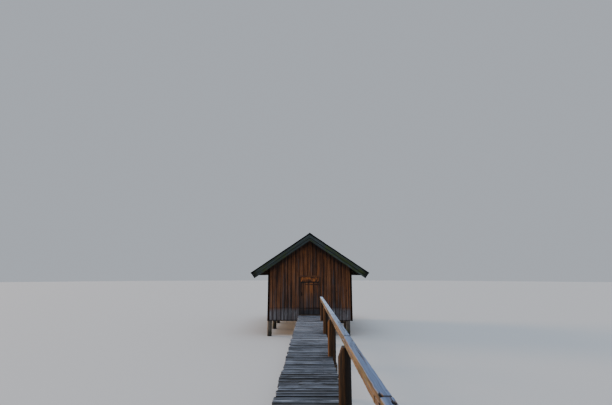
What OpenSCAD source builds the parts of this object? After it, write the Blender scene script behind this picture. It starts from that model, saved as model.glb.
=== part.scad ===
// Boathouse: a board-clad hut with a gable roof on piles, reached by a plank walkway
// with one handrail. +Z is up from the water line, the door faces -Y and the rail
// stands on the +X side. The walkway runs out towards -Y.

/* [Hut] */
// Width over the wall boards
hut_w = 3800; // [3100:50:4600]
// Length over the wall boards
hut_l = 7000; // [5600:100:8600]
// Height of the deck and the floor above the water
deck_z = 880; // [700:10:1100]
// Height of the wall plates' top above the deck
plate_rise = 2250; // [2150:10:2700]
// Thickness of the wall boards
wall_board = 28; // [20:1:40]

/* [Roof] */
// Slope of the roof in degrees
roof_pitch = 34; // [27:0.5:40]
// Roof beyond the side walls, measured level
eave_overhang = 720; // [450:10:850]
// Barge boards beyond the end walls
verge_overhang = 500; // [350:10:650]
// Thickness of the roof cover
cover_t = 8; // [5:1:15]
// Thickness of the roof boards
roof_board_t = 24; // [18:1:35]
// Depth of the turned-down edge of the roof cover
cover_lip = 55; // [30:1:80]
// Length of each half of the ridge cap down the slope
cap_leg = 160; // [120:5:220]
// Depth of the barge boards
barge_depth = 285; // [200:5:340]
// Depth of the trim boards on the barge boards
trim_depth = 175; // [100:5:220]
// Thickness of the barge boards
barge_t = 25; // [18:1:35]
// Thickness of the trim boards
trim_t = 22; // [16:1:30]
// Depth of the fascia boards at the eaves
fascia_depth = 110; // [90:5:160]
// Roof cover beyond the roof boards and the barge boards at the eave
drip_edge = 10; // [8:1:20]

/* [Frame] */
// Number of pile rows under the hut
rows = 4; // [3:1:5]
// Radius of the piles under the hut
pile_r = 100; // [80:5:120]
// How far the front pile on the rail side stands inside the line of its side
pile_inset = 110; // [0:5:200]
// Width of the cross beams on the piles
beam_w = 160; // [120:5:200]
// Depth of the cross beams on the piles
beam_d = 190; // [150:5:240]
// Width and depth of the sills
sill_w = 140; // [120:5:160]
// Width of the wall posts and the wall plates
post_w = 120; // [100:5:140]
// Depth of the wall rails
rail_beam_d = 100; // [80:5:120]
// Thickness of the wall rails
rail_beam_t = 60; // [50:5:80]
// Height of the wall rails above the deck
rail_beam_rise = 1080; // [800:10:1300]
// Width of the tie beams and king posts
tie_w = 100; // [80:5:120]
// Width of the ridge beam
ridge_w = 100; // [80:5:120]
// Depth of the ridge beam
ridge_d = 160; // [120:5:200]
// Width of a rafter
rafter_w = 80; // [60:5:100]
// Depth of a rafter
rafter_d = 100; // [80:5:140]
// Rafters on each side between the end walls
rafter_count = 8; // [6:1:10]
// Depth of the seat that a rafter has on the wall plate
seat_cut = 35; // [20:1:45]
// Depth of the notch that a rafter has over the ridge beam
ridge_seat = 25; // [15:1:35]
// Thickness of the floor planks and the deck planks
plank_t = 40; // [30:1:50]
// Width of the side gangways beside the boat berth
gangway_w = 632; // [500:10:760]
// Width of a knee brace under a gangway beam
brace_w = 80; // [60:5:100]
// Drop of a knee brace from the beam to the pile
brace_drop = 420; // [350:10:480]

/* [Door] */
// Width of the door leaf
door_w = 820; // [680:10:980]
// Height of the door leaf
door_h = 1630; // [1450:10:1850]
// Thickness of the door leaf
door_t = 28; // [22:1:40]
// Running clearance round the door leaf
door_gap = 7; // [7:0.5:9]
// Gap under the door leaf
door_foot_gap = 10; // [6:1:15]
// Width of the door jambs beside the leaf
jamb_w = 60; // [45:5:80]
// Depth of the door jambs through the wall
jamb_d = 100; // [80:5:120]
// Overlap of the rebate behind the leaf
rebate = 20; // [12:1:25]
// Height of the threshold above the deck
threshold_rise = 45; // [30:5:80]
// Width of the ledges on the leaf's inner face
ledge_w = 120; // [90:5:150]
// Thickness of the ledges
ledge_t = 22; // [18:1:30]
// Height of the board across the top of the leaf's outer face
head_board_h = 205; // [150:5:240]
// Thickness of that board
head_board_t = 18; // [14:1:22]
// Height of the lower hinge above the leaf's foot
hinge_low = 265; // [200:5:350]
// Distance of the upper hinge below the leaf's top
hinge_high = 335; // [280:5:420]
// Distance of the hinge pins outside the leaf's edge
hinge_out = 10; // [8:1:14]
// Radius of the hinge pins
pin_r = 8; // [6:0.5:10]
// Radial clearance of the hinge pins
pin_clearance = 0.1; // [0.05:0.05:0.3]
// Wall of the strap eyes round the pins
eye_wall = 6; // [5:0.5:8]
// Clearance between the strap eyes and the jamb
eye_clear = 5.5; // [5.5:0.5:8]
// Height of the hinge straps at the eye
strap_h = 44; // [36:2:60]
// Radius of the straps' round ends
strap_tip_r = 13; // [10:1:17]
// Thickness of the hinge straps
strap_t = 5; // [4:0.5:6]
// Length of the hinge straps on the leaf
strap_l = 640; // [450:10:700]
// Distance of the latch from the leaf's edge
latch_inset = 40; // [35:1:60]
// Length of the latch lever
lever_l = 110; // [80:5:130]

/* [Boat gate] */
// Half the width of the opening between the gate posts
gate_half = 1100; // [900:10:1250]
// Height of the gate above the deck
gate_rise = 1770; // [1600:10:1900]
// Lap of the gate leaves on the gate posts
gate_lap = 50; // [30:5:80]
// Gap between the two gate leaves
gate_gap = 10; // [5:1:20]
// Height of the upper gate ledges below the gate's top
gate_ledge_drop = 360; // [300:10:500]

/* [Walkway] */
// Width of the walkway deck
deck_w = 1070; // [900:10:1300]
// Distance from the hut to the first pair of piles
first_bay = 1800; // [1500:50:2100]
// Distance between the pairs of piles
bay = 3250; // [2600:50:3900]
// Number of whole bays
bays = 4; // [2:1:6]
// Deck beyond the last pair of piles
deck_end = 200; // [150:10:300]
// Radius of the walkway piles
post_r = 90; // [75:5:110]
// Distance of the rail posts' axis inside the deck's edge
post_inset = 25; // [0:5:40]
// Height of the handrail's top above the deck
rail_rise = 915; // [850:5:1050]
// Width of the handrail
rail_w = 100; // [80:5:120]
// Depth of the handrail
rail_d = 125; // [100:5:140]
// Distance of the handrail's axis inside the axis of the first post
rail_in = 45; // [0:5:50]
// Distance of the handrail's axis outside the axis of the last post
rail_out = 85; // [0:5:90]
// Length of the half laps that join the handrail timbers
lap_l = 240; // [180:10:300]
// Greatest width of the bevel on the inner side of a post's top
bevel_w = 58; // [40:2:60]
// Drop of the bevel at that width
bevel_drop = 140; // [100:5:180]
// Level rest between the bevel and the handrail
bevel_rest = 32; // [20:2:50]
// Width of the stringers under the deck
stringer_w = 80; // [60:5:100]
// Depth of the stringers
stringer_d = 120; // [100:5:160]
// Distance of the stringers' axes from the middle of the deck
stringer_x = 260; // [200:5:280]
// Thickness of each of the two bearers at a pair of piles
bearer_t = 60; // [45:5:80]
// Depth of the bearers
bearer_d = 160; // [120:5:200]
// Depth of the flats cut on a pile for the bearers
bearer_seat = 10; // [5:1:15]
// Bearers beyond the deck on the side without a rail
bearer_end = 25; // [0:5:60]
// Bearers beyond the deck on the rail side, past the posts
bearer_rail_end = 85; // [70:5:120]
// Thickness of the ledger under the deck's hut end
ledger_t = 80; // [60:5:100]
// Handrail beyond the first pair of piles, towards the hut
rail_start = 100; // [100:10:400]
// Distance of the outermost handrail joint from its post, towards the hut
joint_shift_last = 750; // [0:50:1000]
// Distance of the joint before that from its post
joint_shift_next = 250; // [0:50:1000]

/* [Hidden] */
$fn = 64;
// Joint between timbers that don't bear on each other
fit_gap = 4;
// Joint in the middle of a half lap
lap_gap = 0.8;
// Joint between the layers of the roof, and between its two halves at the ridge
layer_gap = 0.2;
// How far a cut runs past the face it opens
cut = 1;
// Bevels narrower than this are left out
bevel_least = 10;
half_w = hut_w / 2;
frame_x = half_w - wall_board;
underside_z = deck_z - plank_t;
skirt_z = underside_z - beam_d;
sill_top = underside_z + sill_w;
plate_top = deck_z + plate_rise;
plate_bottom = plate_top - post_w;

// Roof planes: s runs down the slope from the ridge, d goes square into the roof.
slope_sin = sin(roof_pitch);
slope_cos = cos(roof_pitch);
slope_tan = tan(roof_pitch);
board_top_d = cover_t + layer_gap;
rafter_top_d = board_top_d + roof_board_t + layer_gap;
rafter_bottom_d = rafter_top_d + rafter_d;
ridge_z = plate_top - seat_cut + frame_x * slope_tan + rafter_bottom_d / slope_cos;
eave_x = half_w + eave_overhang;
slope_l = eave_x / slope_cos;
fascia_s = slope_l - barge_t - drip_edge;
verge_y = -verge_overhang;
ridge_beam_top = roof_z(ridge_w / 2, rafter_bottom_d) + ridge_seat;
ridge_beam_bottom = ridge_beam_top - ridge_d;

// Door: the leaf's outer face is flush with the wall boards, and it opens outwards.
door_x = door_w / 2;
leaf_z = deck_z + threshold_rise + door_foot_gap;
leaf_top = leaf_z + door_h;
jamb_x = door_x + door_gap + jamb_w;
head_z = leaf_top + door_gap + jamb_w;
eye_r = pin_r + pin_clearance + eye_wall;
hinge_x = door_x + hinge_out;
hinge_y = -eye_r - eye_clear;
hinge_levels = [leaf_z + hinge_low, leaf_top - hinge_high];
// Crank of the straps: its start on the leaf and its run along the leaf
crank_x = door_x - 5;
crank_run = 7;
// Shoulder under an eye, the play above it, and how far the pin stands above the eye
shoulder_h = 16;
pin_seat = 0.3;
pin_end = 6;
// Radius of the latch lever and distance of its axis from the leaf
lever_r = 8;
lever_out = 44;
// Width and height of the latch plate
latch_plate = [56, 160];
// Width, thickness and height of the rim lock, and its edge's distance from the lever's axis
rim_lock = [100, 28, 108];
rim_lock_edge = 5;
// Gap between the rim lock and the ledge below it
rim_lock_gap = 6;
// Ledges of the leaf: one near each end, the middle one under the lock
ledge_end = 120;
ledge_levels = [leaf_z + ledge_end, leaf_z + door_h / 2 - ledge_w, leaf_top - ledge_end - ledge_w];
lock_z = ledge_levels[1] + ledge_w + rim_lock[2] / 2 + rim_lock_gap;

gate_top = deck_z + gate_rise;
gangway_x = frame_x - sill_w;
landing_end = row_y(1) + beam_w / 2;

post_x = deck_w / 2 - post_inset;
pile_x = deck_w / 2 - post_r;
rail_slant = (rail_in + rail_out) / (bays * bay);
rail_top = deck_z + rail_rise;
rail_bottom = rail_top - rail_d;
bearer_top = underside_z - stringer_d;
bearer_y = post_r - bearer_seat;
walkway_end = -first_bay - bays * bay - deck_end;
rail_far_y = -first_bay + rail_start;

// The frame's origin is the middle of the whole outline at the water line.
verge_out = verge_overhang + trim_t + cover_t;
frame_shift = -(walkway_end + hut_l + verge_out) / 2;

// Heights and places

// Height of the plane d below the roof's surface, x from the middle
function roof_z(x, d) = ridge_z - x * slope_tan - d / slope_cos;

// Distance down the slope of the plane at x, d below the surface
function s_at(x, d) = (x + d * slope_sin) / slope_cos;

// Middle of a row of piles
function row_y(i) = let (edge = wall_board + beam_w / 2)
    edge + i * (hut_l - 2 * edge) / (rows - 1);

// Middle of the wall posts over a row of piles
function post_row_y(i) = i == 0 ? wall_board + post_w / 2
    : i == rows - 1 ? hut_l - wall_board - post_w / 2
    : row_y(i);

// Middle of a pair of walkway piles
function pair_y(k) = -first_bay - k * bay;

// Axis of the handrail, which runs out of line with the posts
function rail_x(y) = post_x - rail_in - (first_bay + y) * rail_slant;

// Width of the bevel on post number k, none where the handrail covers the post's inner side
function bevel_at(k) =
    min(bevel_w, rail_x(pair_y(k)) - rail_w / 2 - bevel_rest - (post_x - post_r));

// Joints of the handrail timbers: over the posts, the last ones short of them
function rail_joint_y(k) = pair_y(k)
    + (k == bays ? joint_shift_last : k == bays - 1 ? joint_shift_next : 0);

// Shared forms

// Squared timber between two corners
module timber(low, high) {
    translate(low) cube(high - low);
}

// A piece and its twin on the other side of the middle
module both_sides() {
    children();
    mirror([1, 0, 0]) children();
}

// Outline in the X-Z plane, drawn out from y0 to y1
module along_y(y0, y1) {
    translate([0, y1, 0]) rotate([90, 0, 0]) linear_extrude(y1 - y0) children();
}

// Drawing plane of the right-hand slope: x runs down it from the ridge, y stands square on it
module on_slope() {
    translate([0, ridge_z]) rotate(-roof_pitch) children();
}

// Outline of a roof layer from depth d0 to d1, upright at the ridge and square at its foot
module layer(d0, d1, s_end, x_start = layer_gap / 2) {
    on_slope() polygon([
        [s_at(x_start, d0), -d0], [s_end, -d0], [s_end, -d1], [s_at(x_start, d1), -d1]
    ]);
}

// Outline across the foot of the slope, from s0 to s1 and from depth d0 to d1
module foot_strip(s0, s1, d0, d1) {
    on_slope() translate([s0, -d1]) square([s1 - s0, d1 - d0]);
}

// Walkway

// Round pile with flats for the two bearers
module clamped_pile(x, y, top) {
    difference() {
        translate([x, y, 0]) cylinder(r = post_r, h = top);
        for (side = [-1, 1]) bearer(y, side);
    }
}

// One of the two bearers that clamp a pair of piles
module bearer(y, side) {
    face = y + side * bearer_y;
    timber([-deck_w / 2 - bearer_end, min(face, face + side * bearer_t), bearer_top - bearer_d],
        [deck_w / 2 + bearer_rail_end, max(face, face + side * bearer_t), bearer_top]);
}

module rail_posts() {
    color("sienna") for (k = [0:bays]) {
        y = pair_y(k);
        w = bevel_at(k);
        drop = w * bevel_drop / bevel_w;
        difference() {
            clamped_pile(post_x, y, rail_bottom);
            if (w > bevel_least) translate([post_x - post_r, 0, rail_bottom])
                along_y(y - post_r - cut, y + post_r + cut)
                    polygon([[-cut, cut], [w, cut], [w, 0], [0, -drop], [-cut, -drop]]);
        }
    }
}

module walkway_piles() {
    color("sienna") for (k = [0:bays]) clamped_pile(-pile_x, pair_y(k), underside_z);
}

module walkway_bearers() {
    color("saddlebrown") for (k = [0:bays]) for (side = [-1, 1]) bearer(pair_y(k), side);
}

// Outer and inner end of the deck panel number k, counted from the hut
function panel_outer(k) = k == bays ? walkway_end : pair_y(k) + fit_gap / 2;
function panel_inner(k) = k == 0 ? -fit_gap : pair_y(k - 1) - fit_gap / 2;

module walkway_stringers() {
    color("saddlebrown") for (k = [0:bays]) both_sides()
        timber([stringer_x - stringer_w / 2, panel_outer(k), bearer_top],
            [stringer_x + stringer_w / 2, k == 0 ? wall_board : panel_inner(k), underside_z]);
}

module deck_panels() {
    color("slategray") difference() {
        for (k = [0:bays]) timber([-deck_w / 2, panel_outer(k), underside_z],
            [deck_w / 2, panel_inner(k), deck_z]);
        for (k = [0:bays]) translate([post_x, pair_y(k), underside_z - cut])
            cylinder(r = post_r + fit_gap, h = plank_t + 2 * cut);
    }
}

// Handrail timber from its hut end y1 to its outer end y0, lapped where it meets the next
module rail_timber(y0, y1, lap_out, lap_in) {
    mid = (rail_top + rail_bottom) / 2;
    half = lap_l / 2;
    inner = lap_in ? y1 + half - fit_gap : y1;
    outer = lap_out ? y0 - half + fit_gap : y0;
    difference() {
        translate([0, 0, rail_bottom]) linear_extrude(rail_d) polygon([
            [rail_x(outer) - rail_w / 2, outer], [rail_x(outer) + rail_w / 2, outer],
            [rail_x(inner) + rail_w / 2, inner], [rail_x(inner) - rail_w / 2, inner]
        ]);
        if (lap_in) timber([0, y1 - half, mid - lap_gap / 2], [deck_w, inner + cut, rail_top + cut]);
        if (lap_out) timber([0, outer - cut, rail_bottom - cut], [deck_w, y0 + half, mid + lap_gap / 2]);
    }
}

module handrail() {
    color("lightsteelblue") for (k = [0:bays])
        rail_timber(k == bays ? walkway_end : rail_joint_y(k + 1),
            k == 0 ? rail_far_y : rail_joint_y(k), k < bays, k > 0);
}

module deck_ledger() {
    ledger_x = stringer_x + stringer_w / 2 + ledger_t;
    color("saddlebrown") timber([-ledger_x, -ledger_t, bearer_top - bearer_d],
        [ledger_x, wall_board, bearer_top]);
}

// Piles, beams and floors of the hut

module hut_piles() {
    color("sienna") for (i = [0:rows - 1]) for (side = [-1, 1])
        translate([side * (half_w - pile_r) - (i == 0 && side > 0 ? pile_inset : 0), row_y(i), 0])
            cylinder(r = pile_r, h = skirt_z);
}

// The first two rows carry the landing right across, the others only the gangways
module cross_beams() {
    color("saddlebrown") for (i = [0:rows - 1]) {
        y = row_y(i);
        if (i < 2) timber([-frame_x, y - beam_w / 2, skirt_z], [frame_x, y + beam_w / 2, underside_z]);
        else both_sides() timber([gangway_x - gangway_w, y - beam_w / 2, skirt_z],
            [frame_x, y + beam_w / 2, underside_z]);
    }
}

// Braces from the piles to the inner ends of the gangway beams, housed against the round piles
module knee_braces() {
    pile_face = half_w - 2 * pile_r;
    reach = pile_face - (gangway_x - gangway_w) - brace_w;
    color("saddlebrown") for (i = [2:rows - 1]) both_sides() difference() {
        along_y(row_y(i) - brace_w / 2, row_y(i) + brace_w / 2) polygon([
            [pile_face + pile_r, skirt_z - brace_drop - brace_w],
            [pile_face + pile_r, skirt_z - brace_drop + brace_w / 2],
            [pile_face, skirt_z - brace_drop + brace_w / 2],
            [pile_face - reach + brace_w, skirt_z],
            [pile_face - reach - brace_w / 2, skirt_z],
            [pile_face, skirt_z - brace_drop - brace_w]
        ]);
        translate([half_w - pile_r, row_y(i), -cut]) cylinder(r = pile_r, h = skirt_z + 2 * cut);
    }
}

module side_sills() {
    color("saddlebrown") both_sides() timber([gangway_x, wall_board, underside_z],
        [frame_x, hut_l - wall_board, sill_top]);
}

module end_sills() {
    color("saddlebrown") both_sides() {
        timber([jamb_x, wall_board, underside_z], [gangway_x, wall_board + sill_w, sill_top]);
        timber([gate_half, hut_l - wall_board - sill_w, underside_z],
            [gangway_x, hut_l - wall_board, sill_top]);
    }
}

module landing_floor() {
    color("tan") timber([-gangway_x, wall_board + sill_w, underside_z], [gangway_x, landing_end, deck_z]);
}

module gangways() {
    color("tan") both_sides() timber([gangway_x - gangway_w, landing_end, underside_z],
        [gangway_x, hut_l - wall_board - sill_w, deck_z]);
}

// Wall boards

// End wall beside an opening that reaches out to x_open, up to top
module end_wall(x_open, y, top) {
    timber([x_open, y, skirt_z], [half_w, y + wall_board, top]);
}

// End wall over its opening, up to the roof boards, cut for the plates and the ridge beam
module gable(y, bottom) {
    along_y(y, y + wall_board) difference() {
        translate([-half_w, bottom]) square([hut_w, ridge_z - bottom]);
        for (side = [0, 1]) mirror([side, 0]) {
            on_slope() translate([-slope_l, -rafter_top_d]) square([2 * slope_l, slope_l]);
            translate([frame_x - post_w, plate_bottom]) square(post_w);
        }
        translate([-ridge_w / 2, ridge_beam_bottom]) square([ridge_w, ridge_d]);
    }
}

// Back wall beside the boat gates
module back_end_wall() {
    end_wall(gate_half + gate_lap + fit_gap, hut_l - wall_board, gate_top);
}

module side_wall() {
    timber([frame_x, wall_board, skirt_z],
        [half_w, hut_l - wall_board, roof_z(half_w, rafter_bottom_d)]);
}

module front_wall_left() { color("saddlebrown") mirror([1, 0, 0]) end_wall(jamb_x, 0, head_z); }
module front_wall_right() { color("saddlebrown") end_wall(jamb_x, 0, head_z); }
module front_gable() { color("saddlebrown") gable(0, head_z); }
module side_wall_left() { color("saddlebrown") mirror([1, 0, 0]) side_wall(); }
module side_wall_right() { color("saddlebrown") side_wall(); }
module back_wall_left() { color("saddlebrown") mirror([1, 0, 0]) back_end_wall(); }
module back_wall_right() { color("saddlebrown") back_end_wall(); }
module back_gable() { color("saddlebrown") gable(hut_l - wall_board, gate_top); }

// Timber frame

module wall_posts() {
    color("peru") both_sides() {
        for (i = [0:rows - 1]) upright(frame_x - post_w, post_row_y(i), plate_bottom);
        upright(jamb_x, post_row_y(0), plate_bottom);
        upright(gate_half, post_row_y(rows - 1), gate_top - post_w);
    }
}

// Square post from the sill up to top, its inner side at x
module upright(x, y, top) {
    timber([x, y - post_w / 2, sill_top], [x + post_w, y + post_w / 2, top]);
}

module wall_rails() {
    low = deck_z + rail_beam_rise;
    color("peru") {
        both_sides() {
            for (i = [0:rows - 2]) timber(
                [frame_x - rail_beam_t, post_row_y(i) + post_w / 2, low],
                [frame_x, post_row_y(i + 1) - post_w / 2, low + rail_beam_d]);
            timber([jamb_x + post_w, wall_board, low],
                [frame_x - post_w, wall_board + rail_beam_t, low + rail_beam_d]);
            timber([gate_half + post_w, hut_l - wall_board - rail_beam_t, low],
                [frame_x - post_w, hut_l - wall_board, low + rail_beam_d]);
        }
        timber([-frame_x + post_w, hut_l - wall_board - post_w, gate_top - post_w],
            [frame_x - post_w, hut_l - wall_board, gate_top]);
    }
}

module wall_plates() {
    color("peru") both_sides() timber([frame_x - post_w, verge_y + barge_t, plate_bottom],
        [frame_x, hut_l - verge_y - barge_t, plate_top]);
}

module tie_beams() {
    color("peru") for (i = [0:rows - 1]) timber(
        [-frame_x + post_w, post_row_y(i) - tie_w / 2, plate_bottom],
        [frame_x - post_w, post_row_y(i) + tie_w / 2, plate_top]);
}

module king_posts() {
    color("peru") for (i = [0:rows - 1]) timber(
        [-tie_w / 2, post_row_y(i) - tie_w / 2, plate_top],
        [tie_w / 2, post_row_y(i) + tie_w / 2, ridge_beam_bottom]);
}

module ridge_beam() {
    color("peru") timber([-ridge_w / 2, verge_y + barge_t, ridge_beam_bottom],
        [ridge_w / 2, hut_l - verge_y - barge_t, ridge_beam_top]);
}

// Roof

// Middles of the rafters: one at each verge, the rest from end wall to end wall
function rafter_places() = let (a = post_row_y(0), b = post_row_y(rows - 1))
    concat([verge_y + barge_t + rafter_w / 2],
        [for (i = [0:rafter_count - 1]) a + i * (b - a) / (rafter_count - 1)],
        [hut_l - verge_y - barge_t - rafter_w / 2]);

// Rafter outline with its seats on the wall plate and on the ridge beam
module rafter_outline() {
    difference() {
        layer(rafter_top_d, rafter_bottom_d, fascia_s);
        translate([frame_x - post_w - cut, plate_bottom]) square([post_w + cut, post_w]);
        translate([-ridge_w / 2, ridge_beam_bottom]) square([ridge_w, ridge_d]);
    }
}

module rafters() {
    for (y = rafter_places()) along_y(y - rafter_w / 2, y + rafter_w / 2) rafter_outline();
}

module roof_boards() {
    along_y(verge_y + barge_t, hut_l - verge_y - barge_t)
        layer(board_top_d, board_top_d + roof_board_t, slope_l - drip_edge);
}

// Cover sheet with its edges turned down over the trims and at the eave
module roof_cover() {
    y0 = -verge_out;
    y1 = hut_l + verge_out;
    union() {
        along_y(y0, y1) layer(0, cover_t, slope_l);
        along_y(y0, y0 + cover_t) layer(cover_t, cover_lip, slope_l);
        along_y(y1 - cover_t, y1) layer(cover_t, cover_lip, slope_l);
        along_y(y0, y1) foot_strip(slope_l - cover_t, slope_l, cover_t, cover_lip);
    }
}

module fascia() {
    along_y(verge_y + barge_t, hut_l - verge_y - barge_t)
        foot_strip(fascia_s, fascia_s + barge_t, rafter_top_d, rafter_top_d + fascia_depth);
}

// Pair of boards along a verge, mitred at the ridge
module verge_pair(y0, y1, depth) {
    both_sides() along_y(y0, y1) layer(board_top_d, board_top_d + depth, slope_l - drip_edge, cut);
}

module rafters_right() { color("peru") rafters(); }
module rafters_left() { color("peru") mirror([1, 0, 0]) rafters(); }
module roof_boards_right() { color("burlywood") roof_boards(); }
module roof_boards_left() { color("burlywood") mirror([1, 0, 0]) roof_boards(); }
module roof_cover_right() { color("dimgray") roof_cover(); }
module roof_cover_left() { color("dimgray") mirror([1, 0, 0]) roof_cover(); }
module eave_fascia_right() { color("darkolivegreen") fascia(); }
module eave_fascia_left() { color("darkolivegreen") mirror([1, 0, 0]) fascia(); }

module ridge_cap() {
    color("dimgray") along_y(-verge_out, hut_l + verge_out) union() {
        layer(-layer_gap - cover_t, -layer_gap, cap_leg);
        mirror([1, 0]) layer(-layer_gap - cover_t, -layer_gap, cap_leg);
    }
}

module front_barge_boards() {
    color("darkolivegreen") verge_pair(verge_y, verge_y + barge_t, barge_depth);
}

module front_barge_trims() {
    color("darkolivegreen") verge_pair(verge_y - trim_t, verge_y, trim_depth);
}

module back_barge_boards() {
    color("darkolivegreen") verge_pair(hut_l - verge_y - barge_t, hut_l - verge_y, barge_depth);
}

module back_barge_trims() {
    color("darkolivegreen") verge_pair(hut_l - verge_y, hut_l - verge_y + trim_t, trim_depth);
}

// Boat gate

// Lower edges of the three ledges on a gate leaf
gate_ledges = [sill_top, (sill_top + gate_top) / 2 - ledge_w, gate_top - gate_ledge_drop];

// Closed pair of leaves with ledges on the inner face
module boat_gates() {
    y = hut_l - wall_board;
    color("saddlebrown") both_sides() union() {
        timber([gate_gap / 2, y, skirt_z], [gate_half + gate_lap, hut_l, gate_top - fit_gap]);
        for (z = gate_ledges)
            timber([gate_gap / 2 + fit_gap, y - ledge_t, z], [gate_half - fit_gap, y + cut, z + ledge_w]);
    }
}

// Straps on the outer face, level with the lower and the upper ledges
module gate_straps() {
    color("dimgray") for (i = [0, 2]) both_sides()
        translate([gate_half + gate_lap, 0, gate_ledges[i] + ledge_w / 2])
            along_y(hut_l, hut_l + strap_t) strap_outline();
}

// Door

// Rebated frame of two jambs and a head
module door_frame() {
    clear_x = door_x + door_gap;
    clear_top = leaf_top + door_gap;
    color("saddlebrown") difference() {
        timber([-jamb_x, 0, deck_z + threshold_rise], [jamb_x, jamb_d, head_z]);
        timber([-clear_x, -cut, skirt_z], [clear_x, door_t + door_gap, clear_top]);
        timber([-clear_x + rebate, -cut, skirt_z], [clear_x - rebate, jamb_d + cut, clear_top - rebate]);
    }
}

module threshold() {
    color("saddlebrown") timber([-jamb_x, 0, underside_z],
        [jamb_x, wall_board + sill_w, deck_z + threshold_rise]);
}

module door_leaf() {
    color("sienna") timber([-door_x, 0, leaf_z], [door_x, door_t, leaf_top]);
}

// Outline of a brace that rises from the hinge side to the lock side
module door_brace(reach, low, high) {
    polygon([
        [reach, low], [reach - ledge_w, low], [ledge_w / 2 - reach, high], [1.5 * ledge_w - reach, high]
    ]);
}

// Ledges and braces on the inner face, and the board across the top of the outer face
module door_ledges() {
    ledge_x = door_x + door_gap - 2 * rebate;
    color("sienna") {
        union() {
            for (z = ledge_levels)
                timber([-ledge_x, door_t, z], [ledge_x, door_t + ledge_t, z + ledge_w]);
            for (i = [0, 1]) along_y(door_t, door_t + ledge_t) door_brace(ledge_x,
                ledge_levels[i] + ledge_w - cut, ledge_levels[i + 1] + cut);
        }
        timber([-door_x, -head_board_t, leaf_top - head_board_h], [door_x, 0, leaf_top]);
    }
}

// Forged strap that tapers from its root to a round end
module strap_outline() {
    polygon([
        [0, -strap_h / 2], [0, strap_h / 2],
        [strap_tip_r - strap_l, strap_tip_r], [strap_tip_r - strap_l, -strap_tip_r]
    ]);
    translate([strap_tip_r - strap_l, 0]) circle(r = strap_tip_r);
}

// Neck that is cranked out from the leaf to the back of the eye, seen from above
module strap_neck() {
    bend = strap_t * tan(atan2(eye_clear, crank_run) / 2);
    polygon([
        [crank_x - strap_h / 2, 0], [crank_x, 0],
        [crank_x + crank_run, -eye_clear], [hinge_x, -eye_clear],
        [hinge_x, -eye_clear - strap_t], [crank_x + crank_run - bend, -eye_clear - strap_t],
        [crank_x - bend, -strap_t], [crank_x - strap_h / 2, -strap_t]
    ]);
}

// Strap hinges on the outer face, their eyes on the pins
module hinge_straps() {
    color("dimgray") for (z = hinge_levels) translate([0, 0, z]) difference() {
        union() {
            translate([crank_x, 0, 0]) along_y(-strap_t, 0) strap_outline();
            translate([0, 0, -strap_h / 2]) linear_extrude(strap_h) strap_neck();
            translate([hinge_x, hinge_y, -strap_h / 2]) cylinder(r = eye_r, h = strap_h);
        }
        translate([hinge_x, hinge_y, -strap_h / 2 - cut])
            cylinder(r = pin_r + pin_clearance, h = strap_h + 2 * cut);
    }
}

// Pins on plates that are screwed to the jamb; the eyes rest on their shoulders
module hinge_pintles() {
    plate_low = hinge_x + eye_r + eye_clear + 2;
    plate_high = jamb_x - fit_gap;
    plate_reach = 30;
    color("dimgray") for (z = hinge_levels) translate([0, 0, z - strap_h / 2 - pin_seat]) union() {
        translate([hinge_x, hinge_y, -shoulder_h]) {
            cylinder(r = eye_r, h = shoulder_h);
            cylinder(r = pin_r, h = shoulder_h + strap_h + pin_end);
        }
        timber([hinge_x, hinge_y - pin_r, -shoulder_h], [plate_high, -strap_t / 2, 0]);
        timber([plate_low, -strap_t, -shoulder_h - plate_reach], [plate_high, 0, plate_reach]);
    }
}

// Latch plate with its lever outside, rim lock inside
module door_lock() {
    x = -door_x + latch_inset;
    color("dimgray") translate([x, 0, lock_z]) {
        union() {
            timber([-latch_plate[0] / 2, -strap_t, -latch_plate[1] / 2],
                [latch_plate[0] / 2, 0, latch_plate[1] / 2]);
            rotate([90, 0, 0]) cylinder(r = lever_r + 1, h = lever_out + lever_r - 2);
            translate([0, -lever_out, 0]) rotate([0, 90, 0]) cylinder(r = lever_r, h = lever_l);
        }
        timber([rim_lock_edge, door_t, -rim_lock[2] / 2],
            [rim_lock_edge + rim_lock[0], door_t + rim_lock[1], rim_lock[2] / 2]);
    }
}

// Everything stands in the frame whose origin is the middle of the outline
module in_frame() {
    translate([0, frame_shift, 0]) children();
}

in_frame() rail_posts();
in_frame() walkway_piles();
in_frame() walkway_bearers();
in_frame() walkway_stringers();
in_frame() deck_panels();
in_frame() handrail();
in_frame() deck_ledger();
in_frame() hut_piles();
in_frame() cross_beams();
in_frame() knee_braces();
in_frame() side_sills();
in_frame() end_sills();
in_frame() landing_floor();
in_frame() gangways();
in_frame() front_wall_left();
in_frame() front_wall_right();
in_frame() front_gable();
in_frame() side_wall_left();
in_frame() side_wall_right();
in_frame() back_wall_left();
in_frame() back_wall_right();
in_frame() back_gable();
in_frame() wall_posts();
in_frame() wall_rails();
in_frame() wall_plates();
in_frame() tie_beams();
in_frame() king_posts();
in_frame() ridge_beam();
in_frame() rafters_left();
in_frame() rafters_right();
in_frame() roof_boards_left();
in_frame() roof_boards_right();
in_frame() roof_cover_left();
in_frame() roof_cover_right();
in_frame() ridge_cap();
in_frame() front_barge_boards();
in_frame() front_barge_trims();
in_frame() back_barge_boards();
in_frame() back_barge_trims();
in_frame() eave_fascia_left();
in_frame() eave_fascia_right();
in_frame() boat_gates();
in_frame() gate_straps();
in_frame() door_frame();
in_frame() threshold();
in_frame() hinge_pintles();
in_frame() door_leaf();
in_frame() door_ledges();
in_frame() hinge_straps();
in_frame() door_lock();
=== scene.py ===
"""Finish of a boathouse on piles: boards, logs, roofing, ironwork and their materials.

Every piece is cut from the fixed frame's own solids, so it lies where the frame says.
"""

import math
import random

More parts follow.
